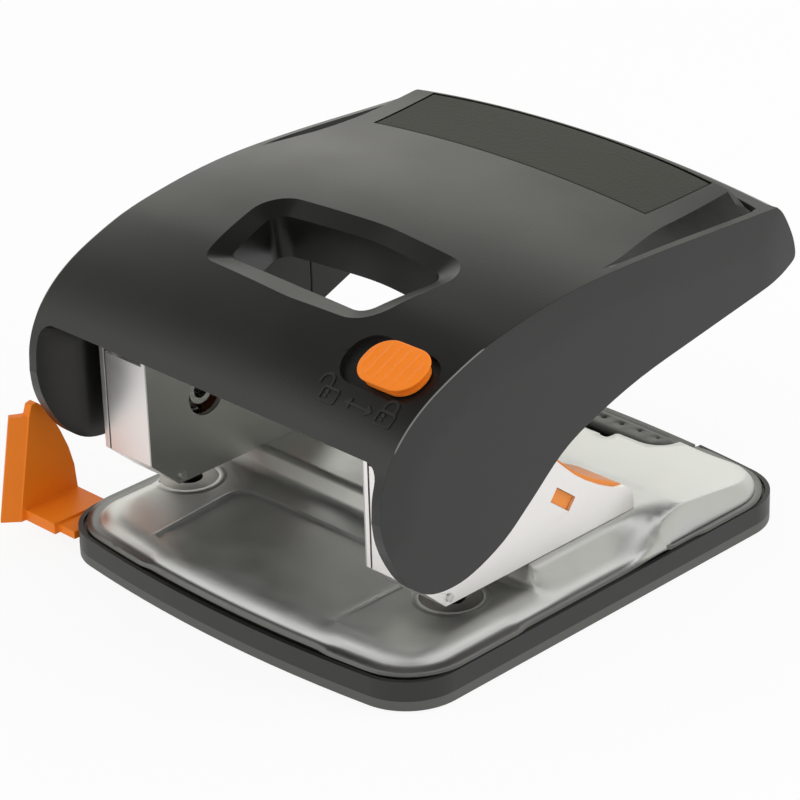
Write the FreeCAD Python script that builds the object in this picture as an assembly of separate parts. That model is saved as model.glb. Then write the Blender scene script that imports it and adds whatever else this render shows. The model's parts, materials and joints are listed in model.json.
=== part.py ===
import FreeCAD, Part
import math
import os

# A two-hole desk punch worked by a hand lever. Millimetres. X is the width, Y the depth (paper comes in
# from the -Y side and stops against the step in the base), Z is up, and z = 0 is the desk.
# The lever cover turns on a shaft near the front, presses two punch pins down behind that shaft, and is
# pushed at its rear end.

V = FreeCAD.Vector
os.makedirs("parts", exist_ok=True)

# ---------------------------------------------------------------- driving sizes: punching
hole_spacing = 80.0          # between the two holes
hole_margin = 12.7           # from the edge of the sheet to the hole centres
paper_stop_y = -16.5         # face of the step that stops the paper
throat = 4.4                 # height of the paper gap
punch_diameter = 6.0
punch_hollow = 0.7           # the tip is ground hollow, so that it cuts from two sides
pin_rest_gap = 0.2           # pin tip above the throat at rest
arm_reach = 12.0             # from the lever's shaft back to the punch pins
lever_turn = 22.0            # degrees from rest to fully pressed

# ---------------------------------------------------------------- driving sizes: base
base_left_margin = 10.0      # from a hole centre out to the side of the base
base_right_margin = 17.8
base_half_depth = 62.3
base_bow = 4.35              # how far the front and rear edges bulge
base_corner = 13.0
mat_inset = 11.0
mat_corner = 6.0
mat_proud = 0.4              # the rubber mat stands out below the pan
mat_seat = 0.5               # and is let into it
pan_height = 2.6
pan_floor = 1.2
rim_height = 3.8
rim_wall = 2.2
lip_width = 1.0
lip_height = 0.6
base_screw_half_spacing = 20.0
base_screw_diameter = 2.0
base_screw_head_diameter = 3.6
base_screw_head = 0.8
base_boss_diameter = 4.0
base_boss_cap = 1.0

# ---------------------------------------------------------------- driving sizes: pressed plate
sheet = 1.2
flange_width = 2.2
floor_rise = 2.2             # floor above the flange
deck_step = 1.4              # rear deck above the bracket seat
deck_start_y = 24.5
level_overlap = 3.0          # the pressed levels run this far into each other
seat_foot_inset = 3.9        # the seat's right side slopes, from here
seat_top_inset = 9.6         # to here
deck_foot_inset = 2.8        # the deck slopes on every side, steeply from here
deck_knee_inset = 5.2        # to here
deck_knee_rise = 4.4         # above the flange
deck_top_inset = 14.0        # and gently to here
sharpest_corner = 1.0
floor_round = 1.8
seat_round = 1.2
deck_round = 1.0
panel_depth = 0.5
panel_corner = 4.0
panel_left = -28.0
panel_right = 29.0
panel_rear_y = -24.0
panel_front_y = -55.0
ring_radius = 7.9
ring_height = 0.2
die_diameter = 13.0
die_height = 3.0

# ---------------------------------------------------------------- driving sizes: brackets
bracket_width = 15.0
bracket_sheet = 1.4
bracket_height = 38.8
bracket_rear = 47.7          # behind the hole centres
bracket_front = 4.5          # before the lever's shaft
front_plate_bottom = 6.8     # above the seat
front_plate_top = 30.0
nose_reach = 9.1             # before the hole centres
seam_gap = 0.5
rear_corner = 2.5
rear_height = 6.1
scallop = [(-21.9, 18.2), (-18.5, 15.0), (-15.0, 12.3), (-10.3, 9.3), (-6.0, 7.1)]  # from the rear foot
shoulder = [(12.2, 38.8), (21.2, 34.8)]  # from the shaft's line and the seat
block_rise = 1.0             # the spacer block stands above the scallop
block_front = 14.7           # behind the hole centres
block_height = 21.8
block_shoulder = 4.1
block_rear_inset = 2.5
snap_back = 22.0             # window for the block's peg, before the bracket's rear foot
snap_height = 10.6
snap_length = 7.0
snap_width = 3.3
snap_tilt = -38.0
snap_sunk = 0.8
rivet_inset = 5.5
rivet_diameter = 3.0
rivet_head_diameter = 5.0
rivet_head_height = 1.0
nose_pin_diameter = 1.8
nose_pin_inset = 1.1
nose_pin_rise = 1.7
nose_pin_proud = 0.4

# ---------------------------------------------------------------- driving sizes: shaft and punches
pivot_height = 34.3          # above the seat
pivot_diameter = 5.0
clip_thickness = 0.7
clip_diameter = 8.4
clip_gap = 2.0
drive_pin_drop = 15.5        # below the shaft
drive_pin_diameter = 6.6
drive_pin_bore = 4.0
port_diameter = 10.0
port_drop = 0.4
head_width = 7.0
head_length = 10.0
head_height = 9.2
head_corner = 2.0
bush_flange_diameter = 11.6
bush_flange_height = 1.2
bush_sleeve_diameter = 9.0
spring_wire = 0.9
spring_mean_diameter = 8.0
spring_turns = 4.0

# ---------------------------------------------------------------- driving sizes: lever frame
cheek_thickness = 1.4
cheek_clear = 0.4
cheek_round = 4.4            # metal below the shaft
cheek_rear = 21.6            # behind the shaft
cheek_rear_height = 5.0
web_rise = 8.0               # above the shaft
web_thickness = 1.5
web_corner = 1.5
web_front = 8.8              # before the shaft
web_rear = 4.7
arm_thickness = 1.2
arm_outline = [(-5.0, 2.0), (-5.0, -3.0), (-2.0, -5.0), (3.0, -5.0), (41.2, 3.5), (77.2, 9.5),
               (81.2, 12.5), (79.2, 17.5), (41.2, 13.5), (0.0, 6.0)]  # from the shaft
cover_screw_pitch = 18.0
cover_screw_count = 4
cover_screw_diameter = 2.9
cover_screw_head = 5.6
cover_screw_head_height = 1.5
cover_screw_length = 4.0
cover_screw_back = 2.0
cover_boss_diameter = 7.0

# ---------------------------------------------------------------- driving sizes: lever cover
# Both outlines are (y, z) from the lever's shaft: the ridge over the top and the lower edge of a side.
cover_margin = 13.2          # outside the hole centres
wall = 3.0
ridge = [(-19.5, -5.5), (-19.0, 0.0), (-17.3, 4.8), (-14.3, 9.3), (-9.3, 13.7), (-2.3, 17.5), (9.0, 21.5),
         (20.4, 23.7), (32.0, 25.1), (44.2, 25.6), (61.2, 25.2), (81.2, 24.1), (99.2, 23.1)]
skirt = [(105.7, 10.5), (100.2, 7.3), (93.2, 5.9), (74.2, 2.7), (55.2, -0.5), (40.2, -4.8), (31.2, -8.9),
         (22.2, -15.9), (14.2, -21.7), (5.2, -25.4), (-1.8, -26.2), (-7.8, -24.9), (-12.8, -21.1),
         (-16.4, -15.7), (-18.6, -10.5), (-19.5, -5.5)]
crown_front = 1.5
crown_rear = 4.0
crown_run = 0.25             # share of the length over which the crown rises
front_lip = 5.5              # lower edge of the front, above the shaft
pad_depth = 0.8
pad_groove = 0.3
pad_front = 72.2             # behind the shaft
pad_rear = 96.2
pad_side_front = 12.7        # from the side of the cover
pad_side_rear = 16.7

# ---------------------------------------------------------------- driving sizes: window and lock
window_x = 2.0
window_back = 15.0           # behind the shaft
window_rise = 26.1           # above the shaft
window_tilt = 14.0
window_half_width = 26.3
window_half_depth = 9.9
window_corner = 6.5
window_flare = 5.2
window_bevel = 4.0
window_wall = 2.2
window_skirt_depth = 9.5
slider_side = 1.2            # outside the hole centre
slider_front = 2.8           # before the shaft
slider_rise = 18.1           # above the shaft
slider_tilt = 25.0
slider_travel = 5.0
slider_length = 16.5
slider_width = 11.0
slider_height = 1.8
slider_corner = 5.0
track_depth = 1.0
grip_ribs = 5
rib_width = 0.9
rib_depth = 0.5
rib_end = 1.2
stem_length = 7.0
stem_width = 4.0
stem_reach = 5.2
bolt_thickness = 1.5
bolt_lap = 1.0
bolt_pin_diameter = 2.5
strap_width = 2.0
catch_back = 11.2            # catch hole from the shaft
catch_rise = 6.1
catch_thickness = 1.4
catch_half_width = 4.0
catch_crest = 2.2
catch_foot = 9.0             # below the bracket's top
catch_clear = 0.3

# ---------------------------------------------------------------- driving sizes: paper guide
channel_floor = 1.8
channel_rail = 0.9
channel_inset = 9.0
rule_front_inset = 8.3
rule_width = 8.0
rule_thickness = 1.8
rule_tail_inset = 6.8
arm_front_extra = 3.4
arm_rear_extra = 1.4
arm_lap = 4.0
guide_engaged = 13.5         # rule left inside the base when pulled right out
shelf_reach = 11.0
shelf_thickness = 2.6
shelf_front = 8.6
shelf_rear = 6.4
shelf_clear = 1.2
fin_thickness = 2.2
fin_drop = 0.2               # lower edge below the rule
fin_outline = [(6.4, 0.0), (6.4, 2.6), (5.9, 8.3), (4.7, 13.0), (2.8, 17.7), (0.6, 22.2), (-1.2, 25.0),
               (-3.2, 26.7), (-4.6, 26.4), (-5.4, 24.2), (-9.6, 2.6), (-10.0, 0.0)]  # from the rule's middle
flare_plan = [(0.0, -9.7), (-3.2, -13.2), (-4.6, -12.2), (-2.2, -8.6)]
flare_lean = 4.6
flare_height = 23.8
stop_pin_diameter = 2.4
stop_pin_inset = 3.0

# ---------------------------------------------------------------- driving sizes: chip drawer
drawer_travel = 80.0
drawer_wall = 1.2
drawer_corner = 4.0
drawer_side_gap = 5.4
drawer_front_gap = 2.2       # behind the guide channel
drawer_top_gap = 0.6         # below the plate
drawer_face = 3.2
grip_front_y = 42.0
grip_half_width = 30.0
grip_corner = 6.0
grip_run = 10.0
grip_thickness = 1.7
neck_half_width = 25.5
neck_depth = 3.0
finger_gap = 3.4
finger_half_width = 17.0

# ---------------------------------------------------------------- named clearances
shaft_clear = 0.05           # running fits of round parts
slide_clear = 0.3            # around sliding parts
body_clear = 0.5             # between bodies that only pass each other
touch = 0.1                  # parts that all but meet
cut_over = 1.0               # how far a cutting tool runs past the surface

# ---------------------------------------------------------------- worked-out places: base
punch_x = hole_spacing / 2
punch_y = paper_stop_y - hole_margin
base_left = -punch_x - base_left_margin
base_right = punch_x + base_right_margin
base_centre_x = (base_left + base_right) / 2
pan_top = pan_height
tray_floor = mat_proud + pan_floor
rim_top = pan_top + rim_height
flange_top = rim_top + sheet
floor_top = flange_top + floor_rise
seat_top = floor_top + throat
deck_top = seat_top + deck_step

# ---------------------------------------------------------------- worked-out places: brackets and lever
half_bracket = bracket_width / 2
inner_half = half_bracket - bracket_sheet
bracket_floor = seat_top + bracket_sheet
bracket_top = seat_top + bracket_height
bracket_rear_y = punch_y + bracket_rear
nose_y = punch_y - nose_reach
pivot_y = punch_y - arm_reach
pivot_z = seat_top + pivot_height
bracket_front_y = pivot_y - bracket_front
rivet_ys = (paper_stop_y + rivet_inset, bracket_rear_y - rivet_inset)
drive_pin_z = pivot_z - drive_pin_drop
press_edge_z = drive_pin_z + drive_pin_diameter / 2 + touch
pin_tip_z = seat_top + pin_rest_gap
head_bottom = drive_pin_z - head_height / 2
spring_bottom = bracket_floor + bush_flange_height
cheek_in = head_width / 2 + cheek_clear
cheek_out = cheek_in + cheek_thickness
web_z = pivot_z + web_rise
web_top_z = web_z + web_thickness
web_front_y = pivot_y - web_front
web_rear_y = pivot_y + web_rear
arm_in = punch_x + half_bracket + slide_clear
turn = math.radians(lever_turn)
edge_drop = pivot_z - press_edge_z + drive_pin_diameter / 2
pin_stroke = arm_reach * math.tan(turn) + edge_drop * (1 / math.cos(turn) - 1)

# ---------------------------------------------------------------- worked-out places: cover, lock, guide
cover_half_width = punch_x + cover_margin
cover_inner = cover_half_width - wall
window_y = pivot_y + window_back
window_z = pivot_z + window_rise
slider_x = punch_x + slider_side
slider_y = pivot_y - slider_front
slider_z = pivot_z + slider_rise
bolt_x = slider_x - stem_length / 2
catch_y = pivot_y + catch_back
catch_z = pivot_z + catch_rise
rule_bottom = tray_floor + channel_floor
rule_top = rule_bottom + rule_thickness
rule_front_y = rule_front_inset - base_half_depth
rule_rear_y = rule_front_y + rule_width
rule_middle_y = (rule_front_y + rule_rear_y) / 2
rule_tail_x = base_right - rule_tail_inset
guide_arm_front_y = rule_front_y - arm_front_extra
guide_arm_rear_y = rule_rear_y + arm_rear_extra
guide_travel = rule_tail_x - base_left - guide_engaged
fin_bottom = rule_bottom - fin_drop
fin_face_x = base_left - shelf_reach

# ---------------------------------------------------------------- worked-out places: drawer
drawer_left = base_left + drawer_side_gap
drawer_right = base_right - drawer_side_gap
drawer_bottom = tray_floor + touch
drawer_top = rim_top - drawer_top_gap
drawer_front_y = rule_rear_y + slide_clear + channel_rail + drawer_front_gap
drawer_rear_y = base_half_depth - base_bow - drawer_face
mouth_y = base_half_depth - base_bow - base_corner
grip_top = [(base_half_depth - touch, rim_top + 0.5), (base_half_depth - 4.1, rim_top + 2.5),
            (grip_front_y + 6.0, deck_top - 2.2), (grip_front_y, deck_top - 0.3)]

SIDES = (("left", -punch_x), ("right", punch_x))


# ---------------------------------------------------------------- small helpers
def box(x0, x1, y0, y1, z0, z1):
    return Part.makeBox(x1 - x0, y1 - y0, z1 - z0, V(x0, y0, z0))


def rod_z(x, y, z0, z1, diameter):
    return Part.makeCylinder(diameter / 2, z1 - z0, V(x, y, z0), V(0, 0, 1))


def rod_x(x0, x1, y, z, diameter):
    return Part.makeCylinder(diameter / 2, x1 - x0, V(x0, y, z), V(1, 0, 0))


def hole_x(x0, x1, y, z, diameter):
    """The tool for a hole along X that runs past both faces."""
    return rod_x(x0 - cut_over, x1 + cut_over, y, z, diameter)


def join(first, *others):
    return first.fuse(list(others)).removeSplitter()


def side_plate(points, x0, x1):
    """A plate cut to an outline of (y, z) points, from x0 to x1."""
    corners = [V(x0, y, z) for y, z in points]
    outline = Part.makePolygon(corners + [corners[0]])
    return Part.Face(outline).extrude(V(x1 - x0, 0, 0))


def plan_plate(points, z0, z1):
    """A plate cut to an outline of (x, y) points, from z0 to z1."""
    corners = [V(x, y, z0) for x, y in points]
    outline = Part.makePolygon(corners + [corners[0]])
    return Part.Face(outline).extrude(V(0, 0, z1 - z0))


def from_place(points, y, z):
    """Outline points that are given from the place (y, z)."""
    return [(y + dy, z + dz) for dy, dz in points]


def is_upright(edge):
    ends = edge.Vertexes
    if len(ends) != 2:
        return False
    a, b = ends[0].Point, ends[1].Point
    return abs(a.x - b.x) < 1e-6 and abs(a.y - b.y) < 1e-6


def is_at_height(edge, z):
    bounds = edge.BoundBox
    return abs(bounds.ZMin - z) < 1e-4 and abs(bounds.ZMax - z) < 1e-4


def round_uprights(solid, radius):
    uprights = [e for e in solid.Edges if is_upright(e)]
    return solid.makeFillet(radius, uprights)


def soften_top(solid, z, radius):
    edges = [e for e in solid.Edges if is_at_height(e, z)]
    return solid.makeFillet(radius, edges)


def rounded_block(x0, x1, y0, y1, z0, z1, radius):
    return round_uprights(box(x0, x1, y0, y1, z0, z1), radius)


def base_block(inset, z0, z1):
    """A slab with the base's bowed outline, drawn in by inset."""
    x0 = base_left + inset
    x1 = base_right - inset
    front = inset - base_half_depth
    rear = base_half_depth - inset
    corners = [V(x0, front + base_bow, z0), V(x1, front + base_bow, z0),
               V(x1, rear - base_bow, z0), V(x0, rear - base_bow, z0)]
    edges = [Part.Arc(corners[0], V(base_centre_x, front, z0), corners[1]).toShape(),
             Part.makeLine(corners[1], corners[2]),
             Part.Arc(corners[2], V(base_centre_x, rear, z0), corners[3]).toShape(),
             Part.makeLine(corners[3], corners[0])]
    slab = Part.Face(Part.Wire(edges)).extrude(V(0, 0, z1 - z0))
    return round_uprights(slab, max(base_corner - inset, sharpest_corner))


def base_outline(inset, z):
    """The closed line round the base at the height z, drawn in by inset."""
    slab = base_block(inset, z, z + sheet)
    return min(slab.Faces, key=lambda face: face.CenterOfMass.z).OuterWire


def turned(shape, angle, y, z):
    """The shape tipped about an axis along X through (y, z); a positive angle lifts the rear."""
    tipped = shape.copy()
    tipped.rotate(V(0, y, z), V(1, 0, 0), angle)
    return tipped


def save(name, solid):
    solid.exportStep("parts/" + name + ".step")
    print(f"{name}: {len(solid.Solids)} solid(s), {solid.Volume:.0f} mm3, valid {solid.isValid()}")


# ---------------------------------------------------------------- base
def mat_block(z0, z1):
    y = base_half_depth - base_bow - mat_inset
    return rounded_block(base_left + mat_inset, base_right - mat_inset, -y, y, z0, z1, mat_corner)


def make_mat():
    return mat_block(0, mat_proud + mat_seat)


def base_screw_places():
    y = (rule_front_y - base_half_depth + rim_wall) / 2 - slide_clear
    return [(base_centre_x + side * base_screw_half_spacing, y) for side in (-1, 1)]


def make_base_screws():
    neck_z = mat_proud + base_screw_head
    screws = []
    for x, y in base_screw_places():
        head = rod_z(x, y, mat_proud, neck_z, base_screw_head_diameter)
        shank = rod_z(x, y, neck_z, rim_top - base_boss_cap, base_screw_diameter)
        screws.append(head.fuse(shank))
    return Part.makeCompound(screws)


def drawer_mouth(z0, z1):
    """The gap in the rear wall that the drawer slides through."""
    return box(drawer_left - slide_clear, drawer_right + slide_clear, mouth_y, base_half_depth + cut_over,
               z0, z1)


def make_pan():
    tray = base_block(0, mat_proud, pan_top)
    tray = tray.cut(base_block(rim_wall, tray_floor, pan_top + cut_over))
    tray = tray.cut(mat_block(mat_proud - cut_over, mat_proud + mat_seat))
    for x, y in base_screw_places():
        tray = tray.cut(rod_z(x, y, 0, mat_proud + base_screw_head, base_screw_head_diameter))
        tray = tray.cut(rod_z(x, y, 0, pan_top, base_screw_diameter))
    return tray.cut(drawer_mouth(tray_floor, pan_top + cut_over))


def guide_slot():
    """The gap in the left wall that the paper guide slides through."""
    return box(base_left - cut_over, base_left + base_corner, guide_arm_front_y - slide_clear,
               guide_arm_rear_y + slide_clear, rule_bottom - slide_clear, rule_top + slide_clear)


def screw_boss(x, y):
    boss = rod_z(x, y, tray_floor, rim_top, base_boss_diameter)
    boss = boss.cut(rod_z(x, y, 0, rim_top - base_boss_cap, base_screw_diameter))
    rib = box(x - rim_wall / 2, x + rim_wall / 2, lip_width - base_half_depth,
              y - (base_boss_diameter + base_screw_diameter) / 4, pan_top, rim_top)
    return boss.fuse(rib)


def make_rim():
    ring = base_block(0, pan_top, rim_top)
    ring = ring.cut(base_block(rim_wall, pan_top - cut_over, rim_top + cut_over))
    lip = base_block(0, rim_top, rim_top + lip_height)
    lip = lip.cut(base_block(lip_width, rim_top - cut_over, rim_top + lip_height + cut_over))
    rim = ring.fuse([lip] + [screw_boss(x, y) for x, y in base_screw_places()])
    rim = rim.cut(drawer_mouth(0, rim_top))
    neck = neck_half_width + slide_clear
    rim = rim.cut(box(base_centre_x - neck, base_centre_x + neck, mouth_y, base_half_depth + cut_over,
                      0, rim_top + lip_height + cut_over))
    return rim.cut(guide_slot()).removeSplitter()


# ---------------------------------------------------------------- pressed plate
def floor_form(gauge, bottom):
    """The low front level, with an even rounded edge."""
    top = floor_top - gauge
    level = soften_top(base_block(lip_width + flange_width + gauge, bottom, top), top, floor_round)
    return level.cut(box(base_left, base_right, paper_stop_y + level_overlap - gauge, base_half_depth,
                         bottom - cut_over, top + cut_over))


def seat_form(gauge, bottom):
    """The level under the brackets: upright at its front and left, sloping at its right."""
    front_y = paper_stop_y + gauge
    rear_y = deck_start_y + level_overlap - gauge
    top = seat_top - gauge
    left_x = base_left + lip_width + flange_width + gauge
    foot_x = base_right - seat_foot_inset - gauge
    section = [(left_x, bottom), (left_x, top), (base_right - seat_top_inset - gauge, top),
               (foot_x, flange_top - gauge), (foot_x, bottom)]
    corners = [V(x, front_y, z) for x, z in section]
    outline = Part.makePolygon(corners + [corners[0]])
    return soften_top(Part.Face(outline).extrude(V(0, rear_y - front_y, 0)), top, seat_round)


def deck_form(gauge, bottom):
    """The rear level: steep at its foot, then a gentle slope up to its top."""
    slope = [(deck_foot_inset, flange_top), (deck_knee_inset, flange_top + deck_knee_rise),
             (deck_top_inset, deck_top)]
    sides = Part.makeLoft([base_outline(inset + gauge, z - gauge) for inset, z in slope], True, True)
    deck = sides.fuse(base_block(deck_foot_inset + gauge, bottom, flange_top - gauge))
    deck = deck.cut(box(base_left, base_right, -base_half_depth, deck_start_y + gauge,
                        bottom - cut_over, deck_top + cut_over))
    return soften_top(deck, deck_top - gauge, deck_round)


def plate_form(gauge, bottom):
    """The raised shape of the pressed sheet; with the sheet's gauge, the hollow beneath it."""
    return floor_form(gauge, bottom).fuse([seat_form(gauge, bottom), deck_form(gauge, bottom)])


def grip_plan(grow):
    """The drawer grip's outline from above, with rounded front corners."""
    x = base_centre_x
    w = grip_half_width + grow
    y = grip_front_y - grow
    rear = base_half_depth + cut_over
    corner_y = y + grip_corner
    bevel = grip_corner / 6
    points = [(x - w, rear), (x - w, corner_y), (x - w + grip_corner, y + bevel), (x - w + grip_run, y),
              (x + w - grip_run, y), (x + w - grip_corner, y + bevel), (x + w, corner_y), (x + w, rear)]
    return plan_plate(points, rim_top - sheet, deck_top + cut_over)


def grip_window():
    """The opening in the rear deck where the drawer's grip shows, with a slot for a finger."""
    slot = box(base_centre_x - finger_half_width, base_centre_x + finger_half_width,
               grip_front_y - finger_gap, grip_front_y, rim_top - sheet, deck_top + cut_over)
    return grip_plan(slide_clear).fuse(slot)


def make_base_plate():
    plate = base_block(lip_width, rim_top, flange_top).fuse(plate_form(0, rim_top))
    plate = plate.cut(plate_form(sheet, rim_top - cut_over))
    plate = plate.cut(rounded_block(panel_left, panel_right, panel_front_y, panel_rear_y,
                                    floor_top - panel_depth, floor_top + cut_over, panel_corner))
    for _, x in SIDES:
        plate = plate.fuse(rod_z(x, punch_y, floor_top - sheet / 2, floor_top + ring_height,
                                 2 * ring_radius))
        plate = plate.cut(rod_z(x, punch_y, floor_top - die_height, floor_top + cut_over, die_diameter))
        for y in rivet_ys:
            plate = plate.cut(rod_z(x, y, floor_top, seat_top + cut_over, rivet_diameter))
    return plate.cut(grip_window()).removeSplitter()


def make_die(x):
    die = rod_z(x, punch_y, floor_top - die_height, floor_top, die_diameter)
    return die.cut(rod_z(x, punch_y, 0, floor_top + cut_over, punch_diameter + 2 * shaft_clear))


# ---------------------------------------------------------------- brackets
def bracket_outline():
    rear = bracket_rear_y
    rear_z = seat_top + rear_height
    corner = [(rear - rear_corner, rear_z), (rear - 0.3 * rear_corner, rear_z - 0.5 * rear_corner),
              (rear, rear_z - 1.3 * rear_corner)]
    front = [(nose_y, seat_top), (bracket_front_y, seat_top + front_plate_bottom),
             (bracket_front_y, bracket_top)]
    return (front + from_place(shoulder, pivot_y, seat_top) + from_place(scallop, rear, seat_top)
            + corner + [(rear, seat_top)])


def snap_window(x0, x1, grow):
    """The tilted window in the outer plate, which the spacer block's peg snaps into."""
    y = bracket_rear_y - snap_back
    z = seat_top + snap_height
    half_long = snap_length / 2 + grow
    half_short = snap_width / 2 + grow
    block = box(x0, x1, y - half_long, y + half_long, z - half_short, z + half_short)
    return turned(block, snap_tilt, y, z)


def nose_pin(x, reach):
    return rod_x(x - reach, x + reach, nose_y + nose_pin_inset, seat_top + nose_pin_rise,
                 nose_pin_diameter)


def bracket_folds(low, high):
    """The floor, front plate and sloping nose that are folded between the two side plates."""
    t = bracket_sheet
    fold_z = seat_top + front_plate_bottom
    floor = box(low + t, high - t, nose_y, bracket_rear_y, seat_top, bracket_floor)
    front = box(low + t + seam_gap, high - t, bracket_front_y, bracket_front_y + t, fold_z,
                seat_top + front_plate_top)
    nose = side_plate([(nose_y, seat_top), (bracket_front_y, fold_z), (bracket_front_y + t, fold_z),
                       (nose_y + t, seat_top)], low + t, high - t)
    return floor, front, nose


def make_bracket(x):
    low = x - half_bracket
    high = x + half_bracket
    outline = bracket_outline()
    inner = side_plate(outline, low, low + bracket_sheet)
    outer = side_plate(outline, high - bracket_sheet, high)
    body = join(inner, outer, *bracket_folds(low, high))
    body = body.cut(snap_window(high - bracket_sheet, high + cut_over, 0))
    body = body.cut(hole_x(low, high, pivot_y, pivot_z, pivot_diameter))
    body = body.cut(hole_x(low, high, punch_y, drive_pin_z - port_drop, port_diameter))
    body = body.cut(rod_z(x, punch_y, seat_top - cut_over, bracket_floor + cut_over,
                          bush_sleeve_diameter))
    for y in rivet_ys:
        body = body.cut(rod_z(x, y, seat_top - cut_over, bracket_floor + cut_over, rivet_diameter))
    return body.cut(nose_pin(x, half_bracket + cut_over))


def make_nose_pins():
    return Part.makeCompound([nose_pin(x, half_bracket + nose_pin_proud) for _, x in SIDES])


def make_rivet(x, y):
    under = seat_top - sheet
    shank = rod_z(x, y, under, bracket_floor, rivet_diameter)
    head = rod_z(x, y, bracket_floor, bracket_floor + rivet_head_height, rivet_head_diameter)
    tail = rod_z(x, y, under - rivet_head_height, under, rivet_head_diameter)
    return join(shank, head, tail)


def make_rivets():
    return Part.makeCompound([make_rivet(x, y) for _, x in SIDES for y in rivet_ys])


def make_spacer_block(x):
    top = from_place(scallop, bracket_rear_y, seat_top + block_rise)
    front_y = punch_y + block_front
    rear_y = bracket_rear_y - block_rear_inset
    high_z = seat_top + block_height
    outline = ([(front_y, bracket_floor), (front_y, high_z), (top[0][0] - block_shoulder, high_z)] + top
               + [(rear_y, seat_top + rear_height + touch), (rear_y, bracket_floor)])
    block = side_plate(outline, x - inner_half, x + inner_half)
    block = block.fuse(snap_window(x + inner_half - cut_over, x + half_bracket - snap_sunk, -touch))
    for y in rivet_ys:
        block = block.cut(rod_z(x, y, seat_top, bracket_floor + rivet_head_height + slide_clear,
                                rivet_head_diameter + 2 * slide_clear))
    return block.removeSplitter()


# ---------------------------------------------------------------- punches
def make_pin_guide(x):
    sleeve = rod_z(x, punch_y, seat_top, bracket_floor, bush_sleeve_diameter)
    flange = rod_z(x, punch_y, bracket_floor, spring_bottom, bush_flange_diameter)
    bush = sleeve.fuse(flange)
    return bush.cut(rod_z(x, punch_y, 0, spring_bottom + cut_over, punch_diameter + 2 * shaft_clear))


def make_punch_pin(x):
    shank = rod_z(x, punch_y, pin_tip_z, head_bottom, punch_diameter)
    hollow = Part.makeCylinder(punch_diameter, 2 * punch_diameter,
                               V(x, punch_y - punch_diameter, pin_tip_z - punch_diameter + punch_hollow),
                               V(0, 1, 0))
    head = rounded_block(x - head_width / 2, x + head_width / 2, punch_y - head_length / 2,
                         punch_y + head_length / 2, head_bottom, head_bottom + head_height, head_corner)
    pin = shank.cut(hollow).fuse(head)
    pin = pin.cut(hole_x(x - head_width / 2, x + head_width / 2, punch_y, drive_pin_z,
                         drive_pin_diameter))
    return pin.removeSplitter()


def make_drive_pin(x):
    half = inner_half - cheek_clear
    tube = rod_x(x - half, x + half, punch_y, drive_pin_z, drive_pin_diameter)
    return tube.cut(hole_x(x - half, x + half, punch_y, drive_pin_z, drive_pin_bore))


def make_spring(x):
    radius = spring_mean_diameter / 2
    height = head_bottom - spring_bottom - spring_wire
    start = spring_bottom + spring_wire / 2
    helix = Part.makeHelix(height / spring_turns, height, radius)
    helix.translate(V(x, punch_y, start))
    section = Part.Wire(Part.makeCircle(spring_wire / 2, V(x + radius, punch_y, start), V(0, 1, 0)))
    return Part.Wire(helix).makePipeShell([section], True, True)


# ---------------------------------------------------------------- lever shaft, frame and arms
def make_pivot_shaft():
    half = cover_inner - slide_clear
    return rod_x(-half, half, pivot_y, pivot_z, pivot_diameter)


def make_pivot_clips():
    start = arm_in + arm_thickness + touch
    clips = []
    for side in (-1, 1):
        x0, x1 = sorted((side * start, side * (start + clip_thickness)))
        disc = rod_x(x0, x1, pivot_y, pivot_z, clip_diameter)
        disc = disc.cut(hole_x(x0, x1, pivot_y, pivot_z, pivot_diameter))
        gap = box(x0, x1, pivot_y - clip_gap / 2, pivot_y + clip_gap / 2, pivot_z - clip_diameter, pivot_z)
        clips.append(disc.cut(gap))
    return Part.makeCompound(clips)


def cheek_outline():
    """A cheek from the web down round the shaft, and back over the drive pin."""
    low = cheek_round
    rear_y = pivot_y + cheek_rear
    return [(web_front_y + web_corner, web_z), (pivot_y - 0.89 * low, pivot_z - 0.11 * low),
            (pivot_y - 0.55 * low, pivot_z - 0.82 * low), (pivot_y, pivot_z - low),
            (pivot_y + low, press_edge_z), (rear_y, press_edge_z),
            (rear_y, press_edge_z + cheek_rear_height), (web_rear_y, web_z)]


def make_lever_frame():
    half = punch_x + cheek_out
    frame = rounded_block(-half, half, web_front_y, web_rear_y, web_z, web_top_z, web_corner)
    for _, x in SIDES:
        for near in (x - cheek_out, x + cheek_in):
            frame = frame.fuse(side_plate(cheek_outline(), near, near + cheek_thickness))
    frame = frame.cut(hole_x(-half, half, pivot_y, pivot_z, pivot_diameter + 2 * shaft_clear))
    for x, y in cover_screw_places():
        frame = frame.cut(rod_z(x, y, web_z - cut_over, web_top_z + cut_over, cover_screw_diameter))
    return frame.removeSplitter()


def make_lever_arm(side):
    x0, x1 = sorted((side * arm_in, side * (arm_in + arm_thickness)))
    arm = side_plate(from_place(arm_outline, pivot_y, pivot_z), x0, x1)
    return arm.cut(hole_x(x0, x1, pivot_y, pivot_z, pivot_diameter + 2 * shaft_clear))


def cover_screw_places():
    y = (web_front_y + web_rear_y) / 2 + cover_screw_back
    first = -(cover_screw_count - 1) / 2 * cover_screw_pitch
    return [(first + i * cover_screw_pitch, y) for i in range(cover_screw_count)]


def make_cover_screws():
    screws = []
    for x, y in cover_screw_places():
        head = rod_z(x, y, web_z - cover_screw_head_height, web_z, cover_screw_head)
        shank = rod_z(x, y, web_z, web_top_z + cover_screw_length, cover_screw_diameter)
        screws.append(head.fuse(shank))
    return Part.makeCompound(screws)


# ---------------------------------------------------------------- lever cover
RIDGE = from_place(ridge, pivot_y, pivot_z)
SKIRT = from_place(skirt, pivot_y, pivot_z)
COVER_SHARES = (-1, -0.5, 0, 0.5, 1)


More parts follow.
